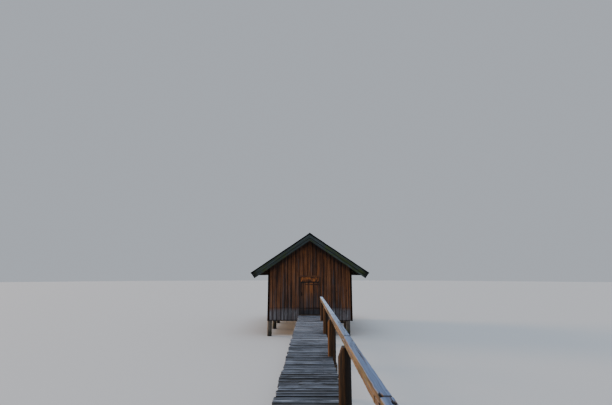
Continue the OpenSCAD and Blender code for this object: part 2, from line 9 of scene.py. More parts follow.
import bmesh
import bpy
from bpy.props import FloatProperty, FloatVectorProperty, PointerProperty
from mathutils import Matrix, Vector
from mathutils.noise import noise


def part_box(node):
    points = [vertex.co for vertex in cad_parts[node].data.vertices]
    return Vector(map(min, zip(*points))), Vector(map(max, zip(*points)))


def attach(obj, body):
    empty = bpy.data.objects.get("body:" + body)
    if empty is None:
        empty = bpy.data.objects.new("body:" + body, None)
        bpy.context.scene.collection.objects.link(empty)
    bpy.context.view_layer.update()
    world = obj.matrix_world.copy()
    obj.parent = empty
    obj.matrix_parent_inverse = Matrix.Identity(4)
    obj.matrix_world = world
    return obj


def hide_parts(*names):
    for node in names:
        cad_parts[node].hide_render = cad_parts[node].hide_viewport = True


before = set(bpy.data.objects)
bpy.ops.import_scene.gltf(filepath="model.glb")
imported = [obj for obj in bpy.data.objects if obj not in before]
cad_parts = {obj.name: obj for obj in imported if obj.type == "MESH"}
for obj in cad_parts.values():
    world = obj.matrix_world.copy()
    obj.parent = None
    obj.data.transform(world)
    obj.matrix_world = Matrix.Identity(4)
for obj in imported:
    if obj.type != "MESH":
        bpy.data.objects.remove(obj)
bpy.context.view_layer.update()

bl_info = {
    "name": "Boathouse finish",
    "version": (1, 0, 0),
    "blender": (4, 5, 0),
    "location": "View3D > Sidebar > Boathouse",
    "description": "Boards, logs, roofing and finishes of a boathouse on piles",
    "category": "Object",
}

X, Y, Z = Vector((1, 0, 0)), Vector((0, 1, 0)), Vector((0, 0, 1))
MAIN, DOOR = "boathouse", "door"
SLOPES = (("left", -1), ("right", 1))
# Corners nearer to each other than this, in metres, are one
WELD = 1e-5
# Faces that meet at less than this angle are one
FLAT = 0.01
# Edges sharper than this are rounded
SHARP = math.radians(25)
# Edges sharper than this are shaded as edges
CREASE = math.radians(38)
# Thinnest board that is worth cutting, in metres
THIN = 0.002
# Joint beside a corner board, in metres
CORNER_JOINT = 0.002
# Gap between the wall boards and the strips behind their joints, in metres
STRIP_GAP = 0.0016
# Height of a nail head and depth that each head is sunk, in metres
NAIL_HEIGHT, SUNK = 0.003, 0.0005
# How far the feet and the heads of the wall boards stand out of line, in metres
WALL_RAGGED = (0.006, 0.0)
# Height of the middle of the dark line along the foot of the walls, in metres
TIDE_LINE = 1.215


def length(name, default, description):
    """Length in metres that a user may change."""
    return FloatProperty(name=name, description=description, default=default, min=0, unit="LENGTH")


def lengths(name, default, description):
    """Places and lengths in metres that a user may change."""
    return FloatVectorProperty(
        name=name, description=description, default=default, size=len(default), unit="LENGTH"
    )


def colour(name, default, description):
    """Colour that a user may change."""
    return FloatVectorProperty(
        name=name, description=description, default=default, size=3, min=0, max=1, subtype="COLOR"
    )


def settings(group):
    """Settings of one group."""
    return getattr(bpy.context.scene, f"boathouse_{group}")


class BoardSizes(bpy.types.PropertyGroup):
    """Sizes of the boards and planks."""

    wall_width: length("Wall board", 0.178, "Usual width of a wall board")
    wall_face: length("Wall face", 0.02, "Thickness of the outer wall boards")
    wall_joint: length("Wall joint", 0.013, "Usual joint between two wall boards")
    strip_width: length("Joint strip", 0.07, "Width of the strips that close the joints inside")
    door_shares: FloatVectorProperty(
        name="Door boards", description="Share of the door's width that each board takes",
        default=(0.157, 0.281, 0.259, 0.303), size=4, min=0, max=1
    )
    door_joint: length("Door joint", 0.009, "Joint between two door boards")
    deck_width: length("Deck plank", 0.135, "Usual width of a deck plank")
    deck_joint: length("Deck joint", 0.032, "Usual joint between two deck planks")
    deck_ragged: length("Deck ends", 0.035, "How far the planks' ends stand back from the line")
    corner_width: length("Corner board", 0.086, "Width of the dark boards at the hut's corners")
    floor_width: length("Floor plank", 0.17, "Usual width of a floor plank")
    floor_joint: length("Floor joint", 0.004, "Joint between two floor planks")
    roof_width: length("Roof board", 0.15, "Width of a roof board")
    roof_joint: length("Roof joint", 0.004, "Joint between two roof boards")
    arris: length("Arris", 0.003, "Rounding of the boards' edges")


class TimberSizes(bpy.types.PropertyGroup):
    """Sizes of the logs' and timbers' marks of age."""

    log_wander: length("Log wander", 0.006, "How far a log's surface leaves the true round")
    check_width: length("Check width", 0.009, "Width of a drying check at its widest")
    check_depth: length("Check depth", 0.022, "Depth of a drying check")
    worn_edge: length("Worn edge", 0.009, "Rounding of the handrail's edges")
    rail_gap: length("Rail gap", 0.004, "How far the handrail's timbers have shrunk at each end")
    knot_hole: lengths(
        "Knot hole", (0.618, -10.56, 0.040, 0.085),
        "Place, width and length of the hole in the handrail's top")
    broken_corner: lengths(
        "Broken corner", (0.552, -10.395, 0.036, 0.110),
        "Place, width and length of the split at the handrail's near joint")
    sawn_edge: length("Sawn edge", 0.005, "Rounding of the beams' edges")
    nail_head: length("Nail head", 0.005, "Radius of a nail head")
    bolt_head: length("Bolt head", 0.016, "Radius of a bolt head")


class RoofingSizes(bpy.types.PropertyGroup):
    """Sizes of the bitumen felt."""

    course: length("Course", 0.92, "Depth of felt that shows on each course")
    lap_step: length("Lap step", 0.005, "Height of the step at a lap")
    cap_piece: length("Cap piece", 1.0, "Length of a piece of the ridge cap")
    nail_pitch: length("Nail pitch", 0.16, "Distance between two clout nails")


class Colours(bpy.types.PropertyGroup):
    """Colours of the timber, the felt and the iron."""

    stain_dark: colour("Stain, dark", (0.014, 0.008, 0.006), "Darkest stain on the walls")
    stain_mid: colour("Stain, middle", (0.112, 0.036, 0.011), "Usual stain on the walls")
    stain_light: colour("Stain, light", (0.240, 0.095, 0.035), "Worn stain on the walls")
    rust_wood: colour("Orange streak", (0.440, 0.130, 0.022), "Streaks where the stain has gone")
    grey_wood: colour("Grey streak", (0.080, 0.086, 0.100), "Grey streaks on the walls")
    splash_grey: colour("Splash grey", (0.082, 0.078, 0.086), "Foot of the walls")
    splash_light: colour("Splash bleach", (0.420, 0.420, 0.450), "Bleached streaks at the walls' foot")
    door_foot: colour("Door foot", (0.020, 0.024, 0.031), "Damp foot of the door")
    deck_dark: colour("Deck, dark", (0.007, 0.008, 0.011), "Dirt and damp in the deck's grain")
    # deck_mid and deck_light carry a blue that is painted sky reflection; deck_light also gives the painted
    # highlight on the front edges
    deck_mid: colour("Deck, middle", (0.066, 0.086, 0.126), "Weathered deck planks")
    deck_light: colour("Deck, light", (0.280, 0.325, 0.410), "Bleached deck planks")
    # These three colours of the handrail's top are blue painted sky reflection, the third brightest towards
    # the hut
    rail_dark: colour("Rail, dark", (0.055, 0.085, 0.160), "Grain of the handrail's top")
    rail_top: colour("Rail, top", (0.155, 0.240, 0.440), "Bleached top of the handrail")
    rail_top_reflection: colour("Rail, bleached", (0.560, 0.740, 0.980), "Handrail's top at the hut")
    rail_side: colour("Rail, side", (0.165, 0.088, 0.030), "Warm sides of the handrail")
    rail_pale: colour("Rail, pale", (0.330, 0.235, 0.115), "Worn edges of the handrail")
    log_dark: colour("Log, dark", (0.006, 0.004, 0.003), "Wet and weathered piles")
    log_mid: colour("Log, middle", (0.020, 0.0105, 0.0048), "Usual colour of the piles")
    # log_light: light streaks, and the painted warm light on the piles' left-facing flanks
    log_light: colour("Log, light", (0.150, 0.062, 0.017), "Dry flanks of the piles")
    beam_dark: colour("Beam, dark", (0.020, 0.013, 0.009), "Shaded side of rough beams")
    beam_mid: colour("Beam, middle", (0.078, 0.048, 0.030), "Usual colour of rough beams")
    beam_light: colour("Beam, light", (0.190, 0.130, 0.086), "Dry parts of rough beams")
    frame_dark: colour("Frame, dark", (0.085, 0.048, 0.026), "Grain of the timbers inside")
    frame_mid: colour("Frame, middle", (0.210, 0.125, 0.066), "Timbers inside")
    frame_light: colour("Frame, light", (0.340, 0.225, 0.130), "Pale wood inside")
    trim_dark: colour("Trim, dark", (0.009, 0.010, 0.010), "Damp parts of the barge boards")
    trim_mid: colour("Trim, middle", (0.038, 0.048, 0.047), "Slate grey of the barge boards")
    trim_light: colour("Trim, light", (0.100, 0.125, 0.140), "Bleached parts of the barge boards")
    moss: colour("Moss", (0.048, 0.070, 0.014), "Algae and moss on the roof's edges")
    felt_dark: colour("Felt, dark", (0.007, 0.007, 0.006), "Bitumen between the grit")
    felt_grit: colour("Felt, grit", (0.052, 0.054, 0.060), "Mineral grit of the felt")
    iron_black: colour("Iron", (0.010, 0.009, 0.009), "Black iron")
    iron_rust: colour("Rust", (0.095, 0.030, 0.011), "Rust on the iron")


class StageSettings(bpy.types.PropertyGroup):
    """Camera, floor and light."""

    eye: lengths("Eye", (0.03, -13.39, 2.68), "Place of the camera")
    pitch: FloatProperty(
        name="Pitch", description="Camera's tilt above the level", default=0.192, subtype="ANGLE"
    )
    turn: FloatProperty(
        name="Turn", description="Camera's turn to the left", default=0.012, subtype="ANGLE"
    )
    focal_px: FloatProperty(name="Focal length", description="In pixels of the image", default=370.0)
    image_px: FloatProperty(name="Image width", description="In pixels", default=612.0)
    floor_reach: length("Floor", 160.0, "Radius of the floor")
    floor_tint: colour("Floor colour", (0.62, 0.63, 0.64), "Pale floor")
    sky_tint: colour("Sky colour", (0.80, 0.86, 0.95), "Soft light from all round")
    key_tint: colour("Key colour", (1.0, 0.64, 0.35), "Warm light from the left")
    top_tint: colour("Top colour", (0.72, 0.85, 1.0), "Cool light from above")
    sky_power: FloatProperty(name="Sky", description="Strength of the light all round", default=0.55)
    key_power: FloatProperty(name="Key", description="Strength of the warm light", default=3.0)
    top_power: FloatProperty(name="Top", description="Strength of the cool light", default=1.25)


# Shader maths


class Signal:
    """Output of a node. Arithmetic on it adds Math nodes to the same material."""

    def __init__(self, finish, socket):
        self.finish = finish
        self.socket = socket

    def math(self, operation, *others, clamp=False):
        """Math node on this signal and others."""
        choices = {"operation": operation, "use_clamp": clamp}
        return self.finish.node("ShaderNodeMath", choices, dict(enumerate((self, *others))))

    def __add__(self, other):
        return self.math("ADD", other)

    def __sub__(self, other):
        return self.math("SUBTRACT", other)

    def __rsub__(self, other):
        # This signal times -1, plus the other value
        return self.math("MULTIPLY_ADD", -1.0, other)

    def __mul__(self, other):
        return self.math("MULTIPLY", other)

    def __neg__(self):
        return self.math("MULTIPLY", -1.0)

    def __abs__(self):
        return self.math("ABSOLUTE")

    __radd__ = __add__
    __rmul__ = __mul__

    def held(self):
        """Signal kept between 0 and 1."""
        return self.math("ADD", 0.0, clamp=True)

    def step(self, low, high, before, after):
        """Smooth step from one value to another."""
        sockets = {0: self, 1: low, 2: high, 3: before, 4: after}
        return self.finish.node("ShaderNodeMapRange", {"interpolation_type": "SMOOTHSTEP"}, sockets)

    def rise(self, low, high):
        """Smooth step from 0 at low to 1 at high."""
        return self.step(low, high, 0.0, 1.0)

    def fall(self, low, high):
        """Smooth step from 1 at low to 0 at high."""
        return self.step(low, high, 1.0, 0.0)

    def parts(self):
        """The three numbers of a vector."""
        outputs = self.finish.node("ShaderNodeSeparateXYZ", {}, {0: self}).socket.node.outputs
        return [Signal(self.finish, output) for output in outputs]

    def vector(self, operation, socket, value):
        """Vector Math node on this vector and one more value."""
        return self.finish.node("ShaderNodeVectorMath", {"operation": operation}, {0: self, socket: value})

    def stretched(self, factors):
        """Vector with each number multiplied."""
        return self.vector("MULTIPLY", 1, factors)

    def moved(self, shift):
        """Vector moved by another."""
        return self.vector("ADD", 1, shift)

    def scaled(self, factor):
        """Vector or colour times one number."""
        return self.vector("SCALE", 3, factor)


def opaque(value):
    """Colour with a full alpha, or a signal as it is."""
    return value if isinstance(value, Signal) else (*value, 1.0)


class Finish:
    """Material whose nodes are written as expressions. base is its colour so far."""

    def __init__(self, name):
        self.material = bpy.data.materials.new(name)
        self.material.use_nodes = True
        self.tree = self.material.node_tree
        self.tree.nodes.clear()
        self.base = None
        self.place = self.node("ShaderNodeTexCoord", {}, {}, "Object")
        self.x, self.y, self.z = self.place.parts()
        self.east, self.north, self.up = self.node("ShaderNodeTexCoord", {}, {}, "Normal").parts()

    def node(self, kind, choices, sockets, output=0):
        """Any node: its settings first, then the values or links of its sockets.

        Gives the output that is asked for, or nothing where the node has none.
        """
        made = self.tree.nodes.new(kind)
        for key, value in choices.items():
            setattr(made, key, value)
        for key, value in sockets.items():
            if isinstance(value, Signal):
                self.tree.links.new(value.socket, made.inputs[key])
            else:
                made.inputs[key].default_value = value
        return Signal(self, made.outputs[output]) if made.outputs else None

    def attribute(self, name, output="Vector"):
        """Attribute that the piece carries."""
        return self.node("ShaderNodeAttribute", {"attribute_name": name}, {}, output)

    def noise(self, place, stretch, detail=2.0, roughness=0.5):
        """Soft random pattern, about 0.5 on the whole. stretch is its repeats in a metre."""
        sockets = {"Vector": place.stretched(stretch), "Scale": 1.0, "Detail": detail, "Roughness": roughness}
        return self.node("ShaderNodeTexNoise", {}, sockets)

    def cells(self, place, stretch, output="Distance"):
        """Random cells."""
        sockets = {"Vector": place.stretched(stretch), "Scale": 1.0}
        return self.node("ShaderNodeTexVoronoi", {}, sockets, output)

    def mixed(self, share, first, second):
        """Colour between two others."""
        sockets = {0: share, 6: opaque(first), 7: opaque(second)}
        return self.node("ShaderNodeMix", {"data_type": "RGBA"}, sockets, 2)

    def blend(self, share, dark, mid, light):
        """Colour that runs over three others."""
        low = self.mixed((share * 2.0).held(), dark, mid)
        return self.mixed((share * 2.0 - 1.0).held(), low, light)

    def coat(self, share, tint):
        """Lays a colour over a share of the base."""
        self.base = self.mixed(share, self.base, tint)

    def close(self, roughness, height, depth, metallic=0.0, shine=0.5):
        """Joins everything to the surface shader. depth is the relief in metres."""
        bump = self.node("ShaderNodeBump", {}, {"Strength": 0.9, "Distance": depth, "Height": height})
        sockets = {"Base Color": opaque(self.base), "Roughness": roughness, "Metallic": metallic,
                   "Specular IOR Level": shine, "Normal": bump}
        return self.surface(sockets)

    def surface(self, sockets):
        """Surface shader and material output."""
        shader = self.node("ShaderNodeBsdfPrincipled", {}, sockets)
        self.node("ShaderNodeOutputMaterial", {}, {"Surface": shader})
        return self.material


# Patterns of wood


class WoodFinish(Finish):
    """Finish of sawn timber, along the grain that each board carries."""

    def __init__(self, name, ring=0.005, along=0.5):
        super().__init__(name)
        self.tone = self.attribute("tone", "Fac")
        self.check = self.attribute("check", "Fac")
        grain = self.attribute("grain")
        self.own_grain = grain.moved(self.tone * 61.0)
        self.streak = self.pattern((along, 24, 24), 4, 0.62)
        self.fibre = self.pattern((9, 380, 380), 2, 0.6)
        self.rings = self.growth_rings(grain, ring)
        self.knots = self.knot_marks()
        self.cracks = self.crack_lines()
        ends, self.across, _ = self.attribute("span").parts()
        self.ends = abs(ends)
        self.edge = abs(self.across).rise(0.78, 1.0)

    def pattern(self, stretch, detail=2.0, roughness=0.5):
        """Random pattern along the grain, each board with its own."""
        return self.noise(self.own_grain, stretch, detail, roughness)

    def growth_rings(self, grain, ring):
        """Lines of the growth rings round a pith beside the board, each board with its own."""
        _, across, through = grain.parts()
        beside = across - ((self.tone * 7.13).math("FRACT") - 0.5) * 0.16
        below = through + (self.tone * 3.71).math("FRACT") * 0.1 + 0.04
        radius = (beside * beside + below * below).math("SQRT")
        turns = (radius + self.pattern((0.7, 5, 5)) * 0.045) * (math.tau / ring)
        return turns.math("SINE") * 0.5 + 0.5

    def knot_marks(self):
        """Dark round marks, one on every few cells."""
        stretch = (3.2, 6.4, 6.4)
        chosen = self.cells(self.own_grain, stretch, "Color").parts()[0].rise(0.62, 0.64)
        return self.cells(self.own_grain, stretch).fall(0.09, 0.17) * chosen

    def crack_lines(self):
        """Thin dark lines along the grain that come and go."""
        line = abs(self.pattern((0.8, 20, 20), 1.5) - 0.5).fall(0.0, 0.014)
        return line * self.pattern((0.6, 3.0, 3.0), 1).rise(0.46, 0.6)

    def height(self, fibre=0.5, rings=0.5, cracks=1.0):
        """Relief of the weathered surface."""
        return self.fibre * fibre + self.rings * rings - self.cracks * cracks - self.knots * 0.3

    def shade(self, streak, fibre, rings, tone):
        """Number from dark to light that follows the grain."""
        grain = (self.streak - 0.5) * streak + (self.fibre - 0.5) * fibre + (self.rings - 0.5) * rings
        return (grain + (self.tone - 0.5) * tone + 0.5).held()

    def wear(self, edge, cracks, knots):
        """Dirt at the edges, in the cracks and on the knots; the dark edges also serve as painted shade in
        the joints.
        """
        return self.edge * edge + self.cracks * cracks + self.knots * knots + self.check


# Places that the frame gives


def post_places():
    """Middle of each rail post, from the hut outwards."""
    found = [Vector((middle(bm, X), middle(bm, Y), 0)) for bm in solids("rail_posts")]
    return sorted(found, key=lambda place: -place.y)


def slope_normal(side):
    """Direction square out of the roof on the left (-1) or right (1)."""
    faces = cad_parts["roof_cover_right"].data.polygons
    broad = max(faces, key=lambda face: face.area * (face.normal.z > 0.1))
    return Vector((side * abs(broad.normal.x), 0, broad.normal.z))


def slope_down(side):
    """Direction down the slope on the left (-1) or right (1)."""
    out = slope_normal(side)
    return Vector((side * out.z, 0, -abs(out.x)))


def below_roof(finish):
    """How far a place lies straight below the top of the roofing."""
    out = slope_normal(1)
    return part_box("roof_cover_right")[1].z - finish.z - abs(finish.x) * (out.x / out.z)


def trim_depth():
    """How far the outer barge board reaches below the top of the roofing at the ridge."""
    foot = min(vert.co.z for bm in solids("front_barge_trims") for vert in bm.verts if abs(vert.co.x) < 0.02)
    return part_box("roof_cover_right")[1].z - foot


def cross_board_foot():
    """Lower edge of the board across the top of the door's outer face."""
    return max(extent(bm, Z)[0] for bm in solids("door_ledges"))


def nail_levels():
    """Heights of the sills, wall rails and wall plates behind the boards."""
    inset = 0.05
    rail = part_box("wall_rails")[0].z + inset
    return [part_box("side_sills")[1].z - inset, rail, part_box("wall_plates")[1].z - inset]


# Finishes


def stain(wood, tints, warmth, worn, faded, sideways):
    """Dark stain with orange streaks where it has gone and grey ones towards the foot.

    worn and faded are the shares of the surface with more and with less orange.
    """
    cloud = wood.noise(wood.place, (1.9, 1.9, 1.1), 3, 0.6) - 0.5
    fine = wood.pattern((0.6, 46, 46)) - 0.5
    shade = (wood.shade(3.2, 1.2, 0.25, 0.46) + fine * 1.3 + cloud * 0.8).held()
    wood.base = wood.blend(shade, tints.stain_dark, tints.stain_mid, tints.stain_light)
    lower = wood.z.fall(1.15, 2.15)
    middle_part = abs(wood.x).fall(0.4, 1.7) * wood.z.rise(1.7, 2.9)
    bare = wood.pattern((0.75, 21, 21), 3, 0.62) + middle_part * 0.06 + worn * 0.14
    orange = (bare + (wood.tone - 0.5) * 0.08 + warmth).rise(0.57, 0.76)
    orange = orange * (1.0 - faded * 0.7) * (1.0 - lower * 0.4)
    wood.coat(orange * (0.1 + 0.75 * wood.fibre) * (1.0 - sideways * 0.6), tints.rust_wood)
    wood.coat((0.25 + 0.35 * wood.streak) * faded, tints.door_foot)
    greyer = wood.pattern((0.9, 16, 16)) + (0.5 - wood.x * 0.2).held() * 0.07 + lower * 0.09
    grey = greyer.rise(0.58, 0.74) * 0.42 * (1.0 - orange) + sideways * wood.streak * 0.55
    wood.coat(grey, tints.grey_wood)


def splash(wood, tints, damp, outside):
    """Grey foot with bleached streaks, or a damp one. Gives the dark line above it."""
    mark = wood.z + (wood.streak - 0.5) * 0.16 + (wood.tone - 0.5) * 0.04
    wood.coat(mark.fall(1.08, 1.26) * 0.85 * outside, tints.door_foot if damp else tints.splash_grey)
    white = wood.pattern((1.1, 24, 24), 4, 0.7).rise(0.50, 0.70) * mark.fall(0.98, 1.18)
    wood.coat(white * (0.15 if damp else 0.6 + wood.x.rise(0.2, 1.6) * 0.14), tints.splash_light)
    return abs(mark - TIDE_LINE).fall(0.0, 0.035)


def stained_wall(name, warmth=0.0, leaf=False, damp=False, rim=0.5, along=0.5, blotches=0.0):
    """Boards with a dark stain, bleached low down and dirty at their feet, with painted shade under the roof.

    warmth adds orange streaks, leaf the marks of the door's own boards and painted shade under its cross
    board, damp a dark foot on the outer face, rim darker board edges as grime and as painted shade in the
    joints, and blotches patches where most of the stain has gone.
    """
    tints = settings("colours")
    wood = WoodFinish(name, along=along)
    sideways = abs(wood.east).rise(0.4, 0.8)
    outside, worn, faded = 1.0, 0.0, 0.0
    if damp:
        outside = (wood.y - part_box("door_leaf")[1].y).fall(-0.004, 0.004)
    if leaf:
        worn = abs(wood.x - 0.14).fall(0.10, 0.34) * wood.z.rise(1.6, 2.0)
        faded = wood.z.fall(1.4, 1.95) * outside
    stain(wood, tints, warmth, worn, faded, sideways)
    tide = splash(wood, tints, damp, outside)
    # Painted shade under the roof's overhang, added to the grime at the edges, cracks, knots and the tide
    # line
    dirt_and_shade = wood.wear(rim, 0.9, 0.6) + tide * 0.45 + below_roof(wood).fall(0.40, 0.62) * 0.7
    # Darker along the last few centimetres of the boards' foot
    dirt_and_shade = dirt_and_shade + wood.z.fall(0.675, 0.72) * 0.9
    if leaf:
        board = cross_board_foot()
        # Painted shade below the door's cross board, and a darker strip at the leaf's left edge by the latch
        cross_board_shade_and_latch_edge = wood.z.rise(board - 0.085, board - 0.045) * 0.85 + wood.x.fall(-0.32, -0.26) * 0.5
        dirt_and_shade = dirt_and_shade + cross_board_shade_and_latch_edge * outside
    if blotches:
        patch = wood.pattern((11, 5, 5))
        wood.coat(patch.rise(0.50, 0.62) * blotches, tints.rust_wood)
        dirt_and_shade = dirt_and_shade + patch.fall(0.38, 0.48) * blotches
    wood.coat(dirt_and_shade.held(), tints.stain_dark)
    return wood.close(0.82 + wood.fibre * 0.12, wood.height(0.5, 0.35, 0.9), 0.0022)


def dark_strip(name):
    """Near-black strips: painted shade in the joints behind the wall boards, and the near-black corner
    boards.
    """
    tints = settings("colours")
    wood = WoodFinish(name)
    wood.base = wood.mixed(wood.streak * 0.5, tints.stain_dark, tints.stain_mid).scaled(0.4)
    return wood.close(0.93, wood.height(), 0.001, shine=0.1)


def deck_wood(name):
    """Weathered planks with open grain, painted highlight on the front edges, painted shade in the joints,
    painted sky reflection towards the hut, and dark stains at the posts' feet.
    """
    tints = settings("colours")
    wood = WoodFinish(name, ring=0.007, along=2.4)
    wood.base = wood.blend(wood.shade(2.6, 1.1, 0.4, 1.1), tints.deck_dark, tints.deck_mid, tints.deck_light)
    # Trodden wear along the middle; the rise along y is painted sky reflection, brighter towards the hut
    trodden = abs(wood.x + 0.05).fall(0.12, 0.42) * wood.fibre
    wood.coat(trodden * 0.2 + wood.y.rise(-7.0, 1.5) * 0.95, tints.deck_light)
    # Painted sky reflection towards the hut, which also thins the damp and the bands there
    hut_end_reflection = wood.y.rise(-5.0, 2.0)
    wood.coat(hut_end_reflection * (0.2 + 0.4 * wood.tone), tints.splash_light)
    damp = wood.pattern((1.3, 1.6, 1.6), 5, 0.7).rise(0.47, 0.58) * (0.55 - hut_end_reflection * 0.2)
    bands = wood.noise(wood.place, (0.3, 3.2, 0.3), 3, 0.6).rise(0.46, 0.58) * (0.5 - hut_end_reflection * 0.1)
    # Damp and bands; the near end is painted darker, the low end of the painted reflection
    wood.coat((damp + wood.y.fall(-10.6, -6.5) * 0.2 + bands).held(), tints.deck_dark)
    first, second = post_places()[:2]
    bay = abs(((wood.y - first.y) * (1.0 / (first.y - second.y))).math("FRACT") - 0.5)
    wood.coat(bay.rise(0.41, 0.48) * wood.x.rise(first.x - 0.42, first.x - 0.08) * 0.8, tints.deck_dark)
    # Painted highlight on the front arrises and along the front edges
    front = -wood.north
    arris = front.rise(0.04, 0.2) * front.fall(0.3, 0.6) * (0.25 + 0.65 * wood.streak)
    wood.coat((arris + wood.across.rise(0.1, 0.9) * wood.streak * 0.4).held(), tints.deck_light)
    # Painted shade along the back edges, in the joints
    back_edge_shade = (-wood.across).rise(0.35, 0.95) * wood.pattern((2.2, 1, 1), 3).rise(0.35, 0.55)
    # Painted shade on the faces inside the joints, added to grime at edges, cracks and knots
    faces = wood.north.rise(0.12, 0.5) + front.rise(0.4, 0.75)
    wood.coat((faces + back_edge_shade * 0.9 + wood.wear(0.4, 0.9, 0.55)).held(), tints.deck_dark)
    wood.coat((-wood.up).rise(0.3, 0.7) * 0.9, tints.beam_dark)
    roughness = 0.46 + wood.fibre * 0.28 + wood.cracks * 0.2
    return wood.close(roughness, wood.height(0.7, 0.45, 1.3), 0.0035, shine=0.4)


def rail_wood(name):
    """Handrail: painted blue sky reflection on top, brighter towards the hut, brown on its sides, with pale
    worn edges.
    """
    tints = settings("colours")
    wood = WoodFinish(name, ring=0.006)
    # The top: blue painted sky reflection, brighter towards the hut
    top = wood.mixed(wood.shade(1.9, 1.0, 0.4, 0.2), tints.rail_dark, tints.rail_top)
    top = wood.mixed(wood.y.rise(-10.7, 0.6) * 0.92, top, tints.rail_top_reflection)
    blotch = (wood.pattern((2.2, 9, 9), 3) - 0.5) * 1.1
    side = (wood.shade(2.4, 0.9, 0.3, 0.2) + blotch - 0.05).held()
    side = wood.blend(side, tints.log_mid, tints.rail_side, tints.rail_pale)
    # rim is the share of the faces that look up and take the painted reflection of the top
    rim = (wood.up + (wood.streak - 0.5) * 1.1).rise(0.15, 0.6)
    wood.base = wood.mixed(rim, side, top)
    wood.coat(wood.pattern((1.2, 7, 7), 4).rise(0.5, 0.62) * (1.0 - rim) * 0.4, tints.moss)
    wood.coat(abs(abs(wood.up) - 0.6).fall(0.1, 0.45) * (0.05 + 0.4 * wood.streak), tints.rail_pale)
    stained = wood.pattern((1.5, 12, 12), 4, 0.6).rise(0.5, 0.68)
    wood.coat(stained * (1.0 - rim * 0.75) * 0.6, tints.log_dark)
    wood.coat((wood.wear(0.0, 0.85, 0.7) + wood.ends.rise(0.972, 0.992) * 0.8).held(), tints.log_dark)
    return wood.close(0.52 + wood.fibre * 0.3, wood.height(0.6, 0.5, 1.2), 0.0028)


def log_wood(name, pale=0.0):
    """Round piles: brown, dark and with algae low down, with painted light on the left-facing flanks and
    painted shade on the right-facing ones; pale adds bleached wood.
    """
    tints = settings("colours")
    wood = WoodFinish(name, ring=0.006)
    # Painted light and shade: flanks facing left are lighter and warmer, flanks facing right darker
    shade = (wood.shade(2.6, 1.0, 0.2, 0.25) - (wood.east + 0.42) * 0.27).held()
    wood.base = wood.blend(shade, tints.log_dark, tints.log_mid, tints.log_light)
    bleached = wood.mixed(wood.streak, tints.rail_pale, tints.splash_light)
    wood.coat(pale * (0.75 - wood.east * 0.25) * wood.fibre.rise(0.2, 0.6), bleached)
    wet = (wood.z + (wood.streak - 0.5) * 0.3).fall(0.16, 0.42 - pale * 0.2)
    wood.coat(wet * 0.8, tints.log_dark)
    algae = abs(wood.z - 0.24).fall(0.03, 0.2) * wood.pattern((3, 12, 12), 3).rise(0.45, 0.6)
    wood.coat(algae * 0.5, tints.moss)
    wood.coat(wood.up.rise(0.4, 0.9) * 0.5, tints.grey_wood)
    wood.coat(wood.wear(0.0, 0.8, 0.5).held(), tints.log_dark)
    return wood.close(0.8 + wood.fibre * 0.12 - wet * 0.3, wood.height(0.6, 0.2, 1.2), 0.003, shine=0.35)


def plain_wood(name, tones, bleach=0.0, stained=False):
    """Rough sawn timber, greyer where it faces up; darkened timber gets painted shade, near black, outside
    the walls.
    """
    tints = settings("colours")
    dark, mid, light = (getattr(tints, tone) for tone in tones)
    wood = WoodFinish(name)
    wood.base = wood.blend(wood.shade(1.6, 0.6, 0.3, 0.35), dark, mid, light)
    wood.coat(wood.up.rise(0.4, 0.9) * bleach, tints.grey_wood)
    if stained:
        # Painted shade: near black where the timber lies outside the walls, under the eaves and the overhang
        edge = 0.06
        (west, south, _), (east, north, _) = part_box("side_wall_left")[0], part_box("side_wall_right")[1]
        beside = wood.x.fall(west, west + edge) + wood.x.rise(east - edge, east)
        before = wood.y.fall(south - edge, south) + wood.y.rise(north, north + edge)
        wood.coat((beside + before).held() * 0.93, tints.stain_dark)
    wood.coat(wood.wear(0.2, 0.8, 0.6).held(), dark)
    saw_marks = wood.pattern((120, 3, 3), 1)
    return wood.close(0.78 + wood.fibre * 0.12, wood.height(0.4, 0.3, 0.9) + saw_marks * 0.5, 0.0018)


def trim_wood(name, shade_below_trim=False):
    """Barge boards: slate grey, mossy lower down; a barge board under a trim board gets painted shade just
    below that trim.
    """
    tints = settings("colours")
    wood = WoodFinish(name)
    shade = wood.shade(2.3, 0.9, 0.25, 0.15)
    wood.base = wood.blend(shade, tints.trim_dark, tints.trim_mid, tints.trim_light)
    patches = wood.pattern((3.0, 14, 14), 4, 0.6)
    mossy = (patches + wood.z.fall(3.0, 4.3) * 0.13 + wood.x.rise(-0.6, 0.8) * 0.06).rise(0.54, 0.76)
    wood.coat(mossy * 0.8, tints.moss)
    tips = wood.ends.rise(0.9995, 0.99999) * 0.9 + abs(wood.x).rise(2.25, 2.52)
    dirt_and_shade = wood.wear(0.4, 0.8, 0.5) + tips
    if shade_below_trim:
        # Painted shade in a line just below the trim board
        seam = trim_depth()
        dirt_and_shade = dirt_and_shade + below_roof(wood).fall(seam + 0.008, seam + 0.034) * 0.95
    wood.coat(dirt_and_shade.held(), tints.trim_dark)
    relief = wood.height(0.5, 0.3, 0.9) + mossy * patches * 0.8
    return wood.close(0.86 + wood.fibre * 0.1, relief, 0.0025, shine=0.3)


